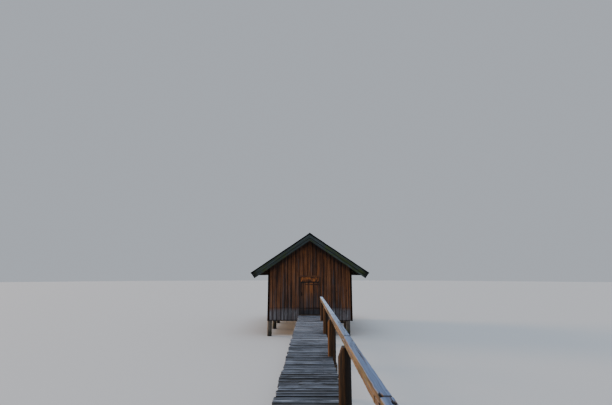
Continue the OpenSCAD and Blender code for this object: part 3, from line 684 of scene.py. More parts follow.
def felt(name):
    """Mineral felt: grit, worn bitumen, streaks down the slope, moss, and a black folded edge."""
    tints = settings("colours")
    roof = Finish(name)
    grit = roof.cells(roof.place, (260, 260, 260), "Color").parts()[0]
    wear = roof.noise(roof.place, (1.3, 1.1, 2.0), 4, 0.6)
    roof.base = roof.mixed((grit * 0.5 + wear * 0.8 - 0.15).held(), tints.felt_dark, tints.felt_grit)
    roof.coat(roof.noise(roof.place, (0.5, 9, 0.5), 3).rise(0.5, 0.7) * 0.35, tints.felt_grit)
    clumps = roof.noise(roof.place, (4.5, 4.5, 4.5), 5, 0.65)
    mossy = (clumps + roof.z.fall(3.0, 4.0) * 0.13).rise(0.56, 0.74)
    tufts = roof.noise(roof.place, (60, 60, 60), 3, 0.7).rise(0.3, 0.7)
    roof.coat(mossy * (0.35 + 0.55 * tufts), tints.moss)
    roof.base = roof.base.scaled(1.0 - abs(roof.north).rise(0.4, 0.8) * 0.9)
    relief = grit * 0.35 + wear * 0.3 + mossy * (1.0 + tufts)
    return roof.close(0.9 - wear * 0.12, relief, 0.004, shine=0.1)


def iron(name):
    """Black iron with rust in patches."""
    tints = settings("colours")
    metal = Finish(name)
    rust = metal.noise(metal.place, (28, 28, 28), 5, 0.65).rise(0.42, 0.62)
    pits = metal.noise(metal.place, (190, 190, 190), 3, 0.6)
    metal.base = metal.mixed(rust * (0.35 + pits), tints.iron_black, tints.iron_rust)
    return metal.close(0.5 + rust * 0.35, pits * 0.6 + rust * 0.5, 0.0012, 0.75 - rust * 0.65)


def plain_floor(name):
    """Even pale floor."""
    tint = settings("stage").floor_tint
    return Finish(name).surface({"Base Color": opaque(tint), "Roughness": 1.0})


FINISHES = {
    "stained_boards": (stained_wall, {}),
    "stained_door": (stained_wall, {"leaf": True, "damp": True, "rim": 0.75}),
    "stained_jambs": (stained_wall, {"warmth": -0.15, "damp": True, "rim": 0.9}),
    "stained_cross_board": (stained_wall, {"warmth": 0.22, "rim": 0.8, "along": 4.5, "blotches": 0.8}),
    "joint_strip": (dark_strip, {}),
    "bleached_planks": (deck_wood, {}),
    "bleached_rail": (rail_wood, {}),
    "round_logs": (log_wood, {}),
    "bleached_logs": (log_wood, {"pale": 0.45}),
    "rough_beams": (plain_wood, {"tones": ("beam_dark", "beam_mid", "beam_light"), "bleach": 0.5}),
    "inner_frame": (plain_wood, {"tones": ("frame_dark", "frame_mid", "frame_light"), "stained": True}),
    "worn_floor": (plain_wood, {"tones": ("beam_dark", "frame_mid", "frame_light"), "bleach": 0.45}),
    "roof_boarding": (plain_wood, {"tones": ("beam_dark", "beam_mid", "frame_mid"), "stained": True}),
    "mossy_trim": (trim_wood, {}),
    "mossy_barge": (trim_wood, {"shade_below_trim": True}),
    "grit_felt": (felt, {}),
    "rusty_iron": (iron, {}),
    "plain_floor": (plain_floor, {}),
}


def material(name):
    """Finish by its name, made when it is first used."""
    make, choices = FINISHES[name]
    return bpy.data.materials.get(name) or make(name, **choices)


# Solids of the frame


def islands(bm):
    """The separate bodies of a mesh, each in a mesh of its own."""
    bm.faces.index_update()
    bm.faces.ensure_lookup_table()
    left = set(range(len(bm.faces)))
    found = []
    while left:
        group = set()
        waiting = [left.pop()]
        while waiting:
            index = waiting.pop()
            group.add(index)
            for face in [face for edge in bm.faces[index].edges for face in edge.link_faces]:
                if face.index in left:
                    left.remove(face.index)
                    waiting.append(face.index)
        part = bm.copy()
        others = [face for face in part.faces if face.index not in group]
        bmesh.ops.delete(part, geom=others, context="FACES")
        found.append(part)
    bm.free()
    return found


def whole_faces(bm):
    """Makes flat faces whole."""
    bmesh.ops.dissolve_limit(bm, angle_limit=FLAT, verts=bm.verts, edges=bm.edges)
    return bm


def solids(*nodes):
    """Closed solids of CAD nodes, as meshes that may be cut."""
    found = []
    for node in nodes:
        bm = bmesh.new()
        bm.from_mesh(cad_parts[node].data)
        bmesh.ops.remove_doubles(bm, verts=bm.verts, dist=WELD)
        found += islands(whole_faces(bm))
    return found


def extent(bm, direction):
    """Lowest and highest place of a mesh along a direction."""
    places = [vert.co.dot(direction) for vert in bm.verts]
    return min(places), max(places)


def middle(bm, direction):
    """Middle of a mesh along a direction."""
    return sum(extent(bm, direction)) / 2


def cut_across(bm, direction, place, clear_outer=False):
    """Cuts a whole mesh at a plane."""
    everything = bm.verts[:] + bm.edges[:] + bm.faces[:]
    bmesh.ops.bisect_plane(
        bm, geom=everything, dist=WELD, plane_co=place, plane_no=direction, clear_outer=clear_outer
    )


def slab(solid, direction, low, high):
    """Copy of the stretch of a solid between two planes, or None where there is none."""
    start, end = extent(solid, direction)
    if min(high, end) - max(low, start) < THIN:
        return None
    bm = solid.copy()
    for place, side in ((low, -1), (high, 1)):
        cut_across(bm, direction * side, direction * place, clear_outer=True)
        bmesh.ops.holes_fill(bm, edges=[edge for edge in bm.edges if edge.is_boundary], sides=0)
    return whole_faces(bm)


def joined(parts):
    """One mesh of several."""
    whole = bmesh.new()
    for part in parts:
        mesh = bpy.data.meshes.new("part")
        part.to_mesh(mesh)
        part.free()
        whole.from_mesh(mesh)
        bpy.data.meshes.remove(mesh)
    return whole


def grown_together(parts, direction, place):
    """Parts of one board that meet at a plane, without the faces between them."""
    bm = joined(parts)
    bmesh.ops.remove_doubles(bm, verts=bm.verts, dist=WELD)
    inner = [
        face for face in bm.faces
        if all(abs(vert.co.dot(direction) - place) < WELD for vert in face.verts)
    ]
    bmesh.ops.delete(bm, geom=inner, context="FACES_ONLY")
    return whole_faces(bm)


def random_edges(chance, low, high, width, spread=0.22):
    """Places of the joints between boards of about one width."""
    count = max(1, round((high - low) / width))
    widths = [1 + chance.uniform(-spread, spread) for _ in range(count)]
    scale = (high - low) / sum(widths)
    edges = [low]
    for value in widths:
        edges.append(edges[-1] + value * scale)
    return edges


# Timber


class Grain:
    """Directions of a timber: along the grain, across it and through its thickness."""

    def __init__(self, along, through):
        self.along = along.normalized()
        self.across = self.along.cross(through).normalized()
        self.through = self.across.cross(self.along)
        self.axes = (self.along, self.across, self.through)


def grain_of(bm):
    """Grain along a solid's longest edge, its broadest face across it."""
    edge = max(bm.edges, key=lambda e: e.calc_length())
    along = (edge.verts[1].co - edge.verts[0].co).normalized()
    if along[max(range(3), key=lambda i: abs(along[i]))] < 0:
        along = -along
    flanks = [face for face in bm.faces if abs(face.normal.dot(along)) < 0.1]
    return Grain(along, max(flanks, key=lambda f: f.calc_area()).normal)


def mark_grain(bm, grain, tone):
    """Stores on each corner its place in the timber, for the materials."""
    for name in ("grain", "span"):
        bm.verts.layers.float_vector.new(name)
    for name in ("tone", "check"):
        bm.verts.layers.float.new(name)
    place, share = (bm.verts.layers.float_vector[name] for name in ("grain", "span"))
    shade = bm.verts.layers.float["tone"]
    ranges = [extent(bm, axis) for axis in grain.axes]
    starts = [ranges[0][0], sum(ranges[1]) / 2, sum(ranges[2]) / 2]
    for vert in bm.verts:
        dots = [vert.co.dot(axis) for axis in grain.axes]
        vert[place] = Vector([dots[i] - starts[i] for i in range(3)])
        vert[share] = Vector([
            (2 * dots[i] - sum(ranges[i])) / max(ranges[i][1] - ranges[i][0], WELD) for i in range(3)
        ])
        vert[shade] = tone


def bevel(bm, edges, size, segments=2):
    """Rounds edges and returns the new faces."""
    return bmesh.ops.bevel(
        bm, geom=edges, offset=size, offset_type="OFFSET", segments=segments, profile=0.5,
        affect="EDGES", clamp_overlap=True, material=-1,
    )["faces"]


def round_edges(bm, size, segments=2):
    """Rounds the long arrises of a timber."""
    arrises = [
        edge for edge in bm.edges
        if len(edge.link_faces) == 2 and edge.calc_face_angle() > SHARP and edge.calc_length() > 3 * size
    ]
    for face in bevel(bm, arrises, size, segments):
        face.smooth = True


def cross_cuts(bm, direction, step):
    """Cuts a timber into stretches that can bend."""
    low, high = extent(bm, direction)
    count = max(1, round((high - low) / step))
    for i in range(1, count):
        cut_across(bm, direction, direction * (low + (high - low) * i / count))


def bend(bm, grain, chance, wander, rough, ragged=(0.0, 0.0)):
    """Bends a timber a little, roughens its edges and sets its ends out of line."""
    place, share = (bm.verts.layers.float_vector[name] for name in ("grain", "span"))
    seed = chance.uniform(0, 90)
    ends = [chance.uniform(-0.15, 1) * value for value in ragged]
    near_end = 0.015
    reach = max(vert[place].x for vert in bm.verts)
    for vert in bm.verts:
        u, v, _ = vert[place]
        side = vert[share].y
        sway = noise(Vector((u * 0.7, seed, 0))) * wander
        lift = noise(Vector((u * 0.8, seed + 31, v * 2))) * wander * 0.7
        edge = noise(Vector((u * 8, seed + 57, round(side)))) * rough * max(0.0, abs(side) * 2 - 1)
        vert.co += grain.across * (sway + edge * (1 if side > 0 else -1)) + grain.through * lift
        if u < near_end:
            vert.co += grain.along * (ends[0] + noise(Vector((v * 25, seed, 3))) * ragged[0] * 0.4)
        if u > reach - near_end:
            vert.co -= grain.along * (ends[1] + noise(Vector((v * 25, seed, 9))) * ragged[1] * 0.4)


def score(bm, out, least, direction, place):
    """Cuts the faces that look in one direction at a plane."""
    faces = [face for face in bm.faces if face.normal.dot(out) > least]
    near = dict.fromkeys(part for face in faces for part in (*face.verts, *face.edges, face))
    bmesh.ops.bisect_plane(
        bm, geom=list(near), dist=WELD / 2, plane_co=direction * place, plane_no=direction
    )


def open_check(bm, along, out, place, start, end, width, depth):
    """Drying check: a groove along the grain that opens and closes again."""
    side = along.cross(out)
    for shift in (-width / 2, 0.0, width / 2):
        score(bm, out, 0.5, side, place + shift)
    bm.normal_update()
    dark = bm.verts.layers.float["check"]
    for vert in bm.verts:
        u = vert.co.dot(along)
        off = vert.co.dot(side) - place
        if not start < u < end or abs(off) > width * 0.6 or vert.normal.dot(out) < 0.3:
            continue
        opening = math.sqrt(math.sin(math.pi * (u - start) / (end - start)))
        if abs(off) < width / 4:
            vert.co -= out * depth * opening
            vert[dark] = opening
        else:
            vert.co -= side * off * (1 - opening) * 0.8
        vert.co += side * noise(Vector((u * 3, place * 40, 5))) * width * 0.5


def open_hole(bm, grain, x, y, width, reach, depth):
    """Oval hole in the top of the timber that lies there."""
    place = Vector((x, y, 0))
    along = place.dot(grain.along)
    low, high = extent(bm, grain.along)
    if not low < along < high:
        return
    side = grain.along.cross(Z)
    off = place.dot(side)
    cuts = (-0.5, -0.42, -0.25, 0.0, 0.25, 0.42, 0.5)
    for direction, centre, size in ((grain.along, along, reach), (side, off, width)):
        for share in cuts:
            score(bm, Z, 0.3, direction, centre + share * size)
    bm.normal_update()
    dark = bm.verts.layers.float["check"]
    for vert in bm.verts:
        u = (vert.co.dot(grain.along) - along) / reach * 2
        v = (vert.co.dot(side) - off) / width * 2
        inside = 1 - u * u - v * v
        if inside > 0 and vert.normal.z > 0.3:
            vert.co -= Z * depth * math.sqrt(inside)
            vert[dark] = 1.0


class Piece:
    """Collects finished parts and turns them into one object."""

    def __init__(self, name):
        self.name = name
        self.chance = random.Random(name)
        self.parts = []

    def board(self, bm, grain=None, arris=0.003, step=0.3, wander=0.003, rough=0.0015,
              ragged=(0.0, 0.0), checks=0, turn=0.0):
        """Finishes a timber: rounded edges, bends, grain and drying checks."""
        grain = grain or grain_of(bm)
        round_edges(bm, arris)
        cross_cuts(bm, grain.along, step)
        mark_grain(bm, grain, self.chance.random())
        bend(bm, grain, self.chance, wander, rough, ragged)
        for _ in range(checks):
            self.random_check(bm, grain)
        if turn:
            centre = grain.across * middle(bm, grain.across) + grain.through * middle(bm, grain.through)
            angle = Matrix.Rotation(self.chance.gauss(0, turn), 3, grain.along)
            bmesh.ops.rotate(bm, verts=bm.verts, cent=centre, matrix=angle)
        self.parts.append(bm)

    def random_check(self, bm, grain):
        """One drying check at a random place of a random side."""
        sizes = settings("timber")
        low, high = extent(bm, grain.along)
        out = self.chance.choice((grain.across, -grain.across, grain.through, -grain.through))
        left, right = extent(bm, grain.along.cross(out))
        margin = (right - left) * 0.28
        reach = min((high - low) * 0.8, self.chance.uniform(0.5, 1.6))
        start = self.chance.uniform(low + 0.05, high - 0.05 - reach)
        place = self.chance.uniform(left + margin, right - margin)
        width = sizes.check_width * self.chance.uniform(0.5, 1.0)
        depth = sizes.check_depth * self.chance.uniform(0.5, 1.0)
        open_check(bm, grain.along, out, place, start, start + reach, width, depth)

    def head(self, place, out, radius, height=NAIL_HEIGHT, segments=8, taper=0.6):
        """Nail head or bolt part on a surface."""
        bm = bmesh.new()
        turn = out.to_track_quat("Z", "Y").to_matrix().to_4x4()
        bmesh.ops.create_cone(
            bm, cap_ends=True, cap_tris=False, segments=segments, radius1=radius, radius2=radius * taper,
            depth=height, matrix=Matrix.Translation(place + out * (height / 2 - SUNK)) @ turn,
        )
        self.parts.append(bm)

    def bolt(self, place, out, radius):
        """Washer, nut and the end of a bolt."""
        washer, nut = 0.003, radius * 0.9
        self.head(place, out, radius * 1.9, 0.004, segments=16, taper=1.0)
        self.head(place + out * washer, out, radius, nut, segments=6, taper=1.0)
        end = place + out * (washer + nut)
        self.head(end, out, radius * 0.5, radius * 0.6, segments=10, taper=0.9)

    def finish(self, finish, slot, body=MAIN, replaces=()):
        """Makes the object, which rides on a body and stands for CAD nodes."""
        whole = joined(self.parts)
        for edge in whole.edges:
            if len(edge.link_faces) == 2 and edge.calc_face_angle() > CREASE:
                edge.smooth = False
        mesh = bpy.data.meshes.new(self.name)
        whole.to_mesh(mesh)
        whole.free()
        mesh.materials.append(material(finish))
        made = bpy.data.objects.new(self.name, mesh)
        bpy.context.scene.collection.objects.link(made)
        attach(made, body)
        if replaces:
            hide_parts(*replaces)


def timbers(name, node, finish, slot, **form):
    """Piece whose timbers keep the shape of their CAD solids."""
    piece = Piece(name)
    for bm in solids(node):
        piece.board(bm, **form)
    piece.finish(finish, slot, replaces=[node])


class Boarding:
    """Upright boards of one wall, with the strips that close their joints from behind."""

    def __init__(self, name, across, outside):
        self.across = across
        self.outside = outside
        self.grain = Grain(Z, outside)
        self.boards = Piece(f"{name}_boards")
        self.strips = Piece(f"{name}_joint_strips")

    def stretch(self, parts, start, end):
        """The parts of some solids between two places across the wall."""
        cut = [slab(part, self.across, start, end) for part in parts]
        return [bm for bm in cut if bm]

    def add(self, parts, edges, joint, seam=None, ragged=(0.0, 0.0), piece=None):
        """Cuts solids into boards between the edges; two solids of one board meet at the seam."""
        sizes = settings("boards")
        piece = piece or self.boards
        low, high = extent(parts[0], self.outside)
        face = high - sizes.wall_face
        for i, (start, end) in enumerate(zip(edges, edges[1:])):
            gap_a, gap_b = (joint * piece.chance.uniform(0.5, 1.6) / 2 for _ in range(2))
            cut = self.stretch(parts, start + gap_a * (i > 0), end - gap_b * (i < len(edges) - 2))
            bm = grown_together(cut, Z, seam) if len(cut) > 1 else cut[0]
            bm = slab(bm, self.outside, face, high)
            shift = self.outside * piece.chance.uniform(-0.0015, 0.0015)
            bmesh.ops.translate(bm, verts=bm.verts, vec=shift)
            piece.board(bm, self.grain, sizes.arris, step=0.4, wander=0.002, rough=0.0012, ragged=ragged)
        half = sizes.strip_width / 2
        for place in edges[1:-1]:
            for bm in self.stretch(parts, place - half, place + half):
                strip = slab(bm, self.outside, low, face - STRIP_GAP)
                self.strips.board(strip, self.grain, arris=0.001, step=2.0, wander=0.0, rough=0.0)

    def nail(self, piece, edges, surface, levels):
        """Pairs of nail heads on each board at the heights of the timbers behind."""
        radius = settings("timber").nail_head
        for start, end in zip(edges, edges[1:]):
            for level in levels:
                for share in (0.2, 0.8):
                    along = start + (end - start) * (share + piece.chance.uniform(-0.05, 0.05))
                    height = level + piece.chance.uniform(-0.012, 0.012)
                    place = self.across * along + self.outside * surface + Z * height
                    piece.head(place, self.outside, radius)

    def finish(self, finish, slot, replaces, body=MAIN):
        """Makes the objects of the boards and of the strips."""
        self.boards.finish(finish, slot, body, replaces)
        # The strips behind the joints are near black, as painted shade
        self.strips.finish("joint_strip", slot, body)


# Operators


class BoathousePart:
    """Common settings of the operators."""

    bl_options = {"REGISTER", "UNDO"}


class OBJECT_OT_boathouse_end_walls(BoathousePart, bpy.types.Operator):
    """Builds the boards of the front and the back wall"""

    bl_idname = "object.boathouse_end_walls"
    bl_label = "End Wall Boards"

    def execute(self, context):
        self.wall("front", -Y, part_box("door_frame")[1].x)
        self.wall("back", Y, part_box("boat_gates")[1].x)
        return {"FINISHED"}

    def wall(self, side, outside, opening):
        """One end wall with its gable, from corner to corner."""
        sizes = settings("boards")
        nodes = [f"{side}_wall_left", f"{side}_wall_right", f"{side}_gable"]
        parts = solids(*nodes)
        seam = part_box(nodes[0])[1].z
        wall = Boarding(f"{side}_wall", X, outside)
        corners = Piece(f"{side}_wall_corner_boards")
        nails = Piece(f"{side}_wall_nails")
        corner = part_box(nodes[2])[1].x
        half = corner - sizes.corner_width
        edges = [-half]
        for low, high in ((-half, -opening), (-opening, opening), (opening, half)):
            edges += random_edges(wall.boards.chance, low, high, sizes.wall_width)[1:]
        wall.add(parts, edges, sizes.wall_joint, seam, WALL_RAGGED)
        for ends in ((-corner, -half - CORNER_JOINT), (half + CORNER_JOINT, corner)):
            wall.add(parts, ends, 0, seam, piece=corners)
        surface = extent(parts[0], outside)[1]
        *low_levels, plate = nail_levels()
        for side_of_door in (-1, 1):
            run = [edge for edge in edges if edge * side_of_door > opening - 0.01]
            wall.nail(nails, run, surface, low_levels)
        wall.nail(nails, edges, surface, [plate])
        wall.finish("stained_boards", "wall_wood", nodes)
        corners.finish("joint_strip", "wall_wood")
        nails.finish("rusty_iron", "iron")


class OBJECT_OT_boathouse_side_walls(BoathousePart, bpy.types.Operator):
    """Builds the boards of the two long walls"""

    bl_idname = "object.boathouse_side_walls"
    bl_label = "Side Wall Boards"

    def execute(self, context):
        sizes = settings("boards")
        for side, outside in (("left", -X), ("right", X)):
            node = f"side_wall_{side}"
            parts = solids(node)
            wall = Boarding(f"{side}_wall", Y, outside)
            nails = Piece(f"{side}_wall_nails")
            edges = random_edges(wall.boards.chance, *extent(parts[0], Y), sizes.wall_width)
            wall.add(parts, edges, sizes.wall_joint, ragged=WALL_RAGGED)
            wall.nail(nails, edges, extent(parts[0], outside)[1], nail_levels())
            wall.finish("stained_boards", "wall_wood", [node])
            nails.finish("rusty_iron", "iron")
        return {"FINISHED"}


class OBJECT_OT_boathouse_deck(BoathousePart, bpy.types.Operator):
    """Builds the cross planks of the walkway"""

    bl_idname = "object.boathouse_deck"
    bl_label = "Deck Planks"

    def execute(self, context):
        sizes = settings("boards")
        piece, nails = Piece("deck_planks"), Piece("deck_nails")
        for panel in sorted(solids("deck_panels"), key=lambda bm: middle(bm, Y)):
            edges = random_edges(piece.chance, *extent(panel, Y), sizes.deck_width, 0.26)
            for start, end in zip(edges, edges[1:]):
                gap = sizes.deck_joint * piece.chance.uniform(0.5, 1.6)
                bm = slab(panel, Y, start + gap / 2, end - gap / 2)
                lift = piece.chance.uniform(-0.008, 0.003)
                bmesh.ops.translate(bm, verts=bm.verts, vec=Z * lift)
                cross_cuts(bm, Y, 0.05)
                piece.board(bm, Grain(X, Z), arris=0.010, step=0.075, wander=0.010, rough=0.011,
                            ragged=(sizes.deck_ragged,) * 2, checks=piece.chance.choice((0, 0, 1)),
                            turn=0.016)
                self.nail(nails, start, end, extent(bm, Z)[1])
        piece.finish("bleached_planks", "deck_wood", replaces=["deck_panels"])
        nails.finish("rusty_iron", "iron")
        return {"FINISHED"}

    def nail(self, nails, start, end, top):
        """Two nails over each stringer, a little sunk."""
        half_stringer = 0.04
        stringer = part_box("walkway_stringers")[1].x - half_stringer
        for x in (-stringer, stringer):
            for share in (0.25, 0.75):
                y = start + (end - start) * share
                place = Vector((x + nails.chance.uniform(-0.015, 0.015), y, top - NAIL_HEIGHT))
                nails.head(place, Z, settings("timber").nail_head)


class OBJECT_OT_boathouse_floors(BoathousePart, bpy.types.Operator):
    """Builds the floor planks of the landing and the gangways"""

    bl_idname = "object.boathouse_floors"
    bl_label = "Floor Planks"

    def execute(self, context):
        sizes = settings("boards")
        half_gap = sizes.floor_joint / 2
        for name, node in (("landing_planks", "landing_floor"), ("gangway_planks", "gangways")):
            piece = Piece(name)
            for part in solids(node):
                edges = random_edges(piece.chance, *extent(part, X), sizes.floor_width)
                for start, end in zip(edges, edges[1:]):
                    bm = slab(part, X, start + half_gap, end - half_gap)
                    piece.board(bm, Grain(Y, Z), step=0.5, wander=0.002, rough=0.001)
            piece.finish("worn_floor", "floor_wood", replaces=[node])
        return {"FINISHED"}


class OBJECT_OT_boathouse_logs(BoathousePart, bpy.types.Operator):
    """Builds the round piles and the rail posts"""

    bl_idname = "object.boathouse_logs"
    bl_label = "Piles And Posts"

    def execute(self, context):
        for name, node, finish in (
            ("rail_post_logs", "rail_posts", "round_logs"),
            ("walkway_pile_logs", "walkway_piles", "round_logs"),
            ("hut_pile_logs", "hut_piles", "bleached_logs"),
        ):
            piece = Piece(name)
            for bm in solids(node):
                self.log(piece, bm, settings("timber"))
            piece.finish(finish, "pile_wood", replaces=[node])
        return {"FINISHED"}

    def log(self, piece, bm, sizes):
        """One log: rounded head, uneven flanks and drying checks."""
        chance = piece.chance
        worn_head, rounding = 0.2, 0.008
        centre = Vector((middle(bm, X), middle(bm, Y), 0))
        foot, top = extent(bm, Z)
        heads = [edge for edge in bm.edges if edge.calc_face_angle(0) > SHARP and
                 min(vert.co.z for vert in edge.verts) > top - worn_head]
        bevel(bm, heads, rounding)
        cross_cuts(bm, Z, 0.09)
        mark_grain(bm, Grain(Z, Y), chance.random())
        seed = chance.uniform(0, 90)
        for vert in bm.verts:
            out = Vector((vert.co.x, vert.co.y, 0)) - centre
            if out.length < WELD:
                continue
            way = out.normalized() * 1.7
            swell = noise(Vector((way.x + seed, way.y, vert.co.z * 1.1)))
            fine = noise(Vector((way.x * 5 + seed, way.y * 5, vert.co.z * 2.5)))
            vert.co += out.normalized() * (swell * sizes.log_wander + fine * sizes.log_wander * 0.3)
        for face in bm.faces:
            face.smooth = True
        for _ in range(5):
            turn = chance.uniform(0, math.tau)
            out = Vector((math.cos(turn), math.sin(turn), 0))
            reach = chance.uniform(0.4, 1.0) * (top - foot)
            start = chance.uniform(foot - 0.1, top - reach + 0.15)
            width = sizes.check_width * chance.uniform(0.5, 1.1)
            depth = sizes.check_depth * chance.uniform(0.6, 1.3)
            open_check(bm, Z, out, centre.dot(Z.cross(out)), start, start + reach, width, depth)
        piece.parts.append(bm)


class OBJECT_OT_boathouse_handrail(BoathousePart, bpy.types.Operator):
    """Builds the handrail timbers"""

    bl_idname = "object.boathouse_handrail"
    bl_label = "Handrail"

    def execute(self, context):
        sizes = settings("timber")
        piece = Piece("handrail_timbers")
        for solid in sorted(solids("handrail"), key=lambda part: middle(part, Y)):
            grain = Grain(grain_of(solid).along, Z)
            low, high = extent(solid, grain.along)
            bm = slab(solid, grain.along, low + sizes.rail_gap, high - sizes.rail_gap)
            round_edges(bm, sizes.worn_edge, 3)
            cross_cuts(bm, grain.along, 0.07)
            mark_grain(bm, grain, piece.chance.random())
            bend(bm, grain, piece.chance, 0.004, 0.005, (0.006, 0.006))
            for hole in (sizes.knot_hole, sizes.broken_corner):
                open_hole(bm, grain, *hole, sizes.check_depth * 1.6)
            for out, count in ((Z, 3), (-grain.across, 5), (grain.across, 3)):
                for _ in range(count):
                    self.rail_check(piece.chance, bm, grain.along, out, sizes)
            piece.parts.append(bm)
        piece.finish("bleached_rail", "rail_wood", replaces=["handrail"])
        return {"FINISHED"}

    def rail_check(self, chance, bm, along, out, sizes):
        """One long check on a face of the rail."""
        low, high = extent(bm, along)
        left, right = extent(bm, along.cross(out))
        reach = chance.uniform(0.3, 1.1)
        start = chance.uniform(low + 0.05, high - reach - 0.05)
        place = chance.uniform(left + 0.025, right - 0.025)
        width = sizes.check_width * chance.uniform(0.4, 1.0)
        depth = sizes.check_depth * chance.uniform(0.4, 1)
        open_check(bm, along, out, place, start, start + reach, width, depth)


class OBJECT_OT_boathouse_beams(BoathousePart, bpy.types.Operator):
    """Builds the beams under the deck and the hut, with their bolts"""

    bl_idname = "object.boathouse_beams"
    bl_label = "Beams And Bolts"

    def execute(self, context):
        sizes = settings("timber")
        for name, node in (
            ("bearer_timbers", "walkway_bearers"), ("stringer_timbers", "walkway_stringers"),
            ("ledger_timber", "deck_ledger"), ("cross_beam_timbers", "cross_beams"),
            ("knee_brace_timbers", "knee_braces"), ("side_sill_timbers", "side_sills"),
            ("end_sill_timbers", "end_sills"), ("threshold_timber", "threshold"),
        ):
            timbers(name, node, "rough_beams", "beam_wood", arris=sizes.sawn_edge, step=0.4, checks=1)
        self.bolts(sizes)
        return {"FINISHED"}

    def bolts(self, sizes):
        """Two bolts through each bearer at each pile beside it."""
        piece = Piece("bearer_bolts")
        farthest = 0.3
        piles = [(middle(bm, X), middle(bm, Y)) for bm in solids("rail_posts", "walkway_piles")]
        for bearer in solids("walkway_bearers"):
            y = middle(bearer, Y)
            low, high = extent(bearer, Z)
            for pile_x, pile_y in piles:
                if abs(pile_y - y) > farthest:
                    continue
                out = Y if y > pile_y else -Y
                for level in (0.3, 0.7):
                    place = Vector((pile_x, 0, low + (high - low) * level)) + out * extent(bearer, out)[1]
                    piece.bolt(place, out, sizes.bolt_head)
        piece.finish("rusty_iron", "iron")


class OBJECT_OT_boathouse_frame(BoathousePart, bpy.types.Operator):
    """Builds the timber frame of the walls and the roof"""

    bl_idname = "object.boathouse_frame"
    bl_label = "Timber Frame"

    def execute(self, context):
        for name, node in (
            ("wall_post_timbers", "wall_posts"), ("wall_rail_timbers", "wall_rails"),
            ("wall_plate_timbers", "wall_plates"), ("tie_beam_timbers", "tie_beams"),
            ("king_post_timbers", "king_posts"), ("ridge_beam_timber", "ridge_beam"),
            ("left_rafter_timbers", "rafters_left"), ("right_rafter_timbers", "rafters_right"),
        ):
            timbers(name, node, "inner_frame", "frame_wood", arris=settings("timber").sawn_edge, step=0.5)
        return {"FINISHED"}


class OBJECT_OT_boathouse_roof_boards(BoathousePart, bpy.types.Operator):
    """Builds the boards under the roofing"""

    bl_idname = "object.boathouse_roof_boards"
    bl_label = "Roof Boards"

    def execute(self, context):
        sizes = settings("boards")
        half_gap, half_butt = sizes.roof_joint / 2, 0.001
        rafters = sorted(middle(bm, Y) for bm in solids("rafters_right"))
        for name, side in SLOPES:
            node = f"roof_boards_{name}"
            piece = Piece(f"{name}_roof_boards")
            down = slope_down(side)
            grain = Grain(Y, slope_normal(side))
            solid = solids(node)[0]
            edges = random_edges(piece.chance, *extent(solid, down), sizes.roof_width, 0.12)
            for i, (start, end) in enumerate(zip(edges, edges[1:])):
                board = slab(solid, down, start + half_gap, end - half_gap)
                joint = rafters[3 + (i * 2) % 5]
                first, last = extent(board, Y)
                for near, far in ((first, joint - half_butt), (joint + half_butt, last)):
                    half = slab(board, Y, near, far)
                    piece.board(half, grain, arris=0.002, step=0.8, wander=0.0, rough=0.0006)
            piece.finish("roof_boarding", "roof_wood", replaces=[node])
        return {"FINISHED"}


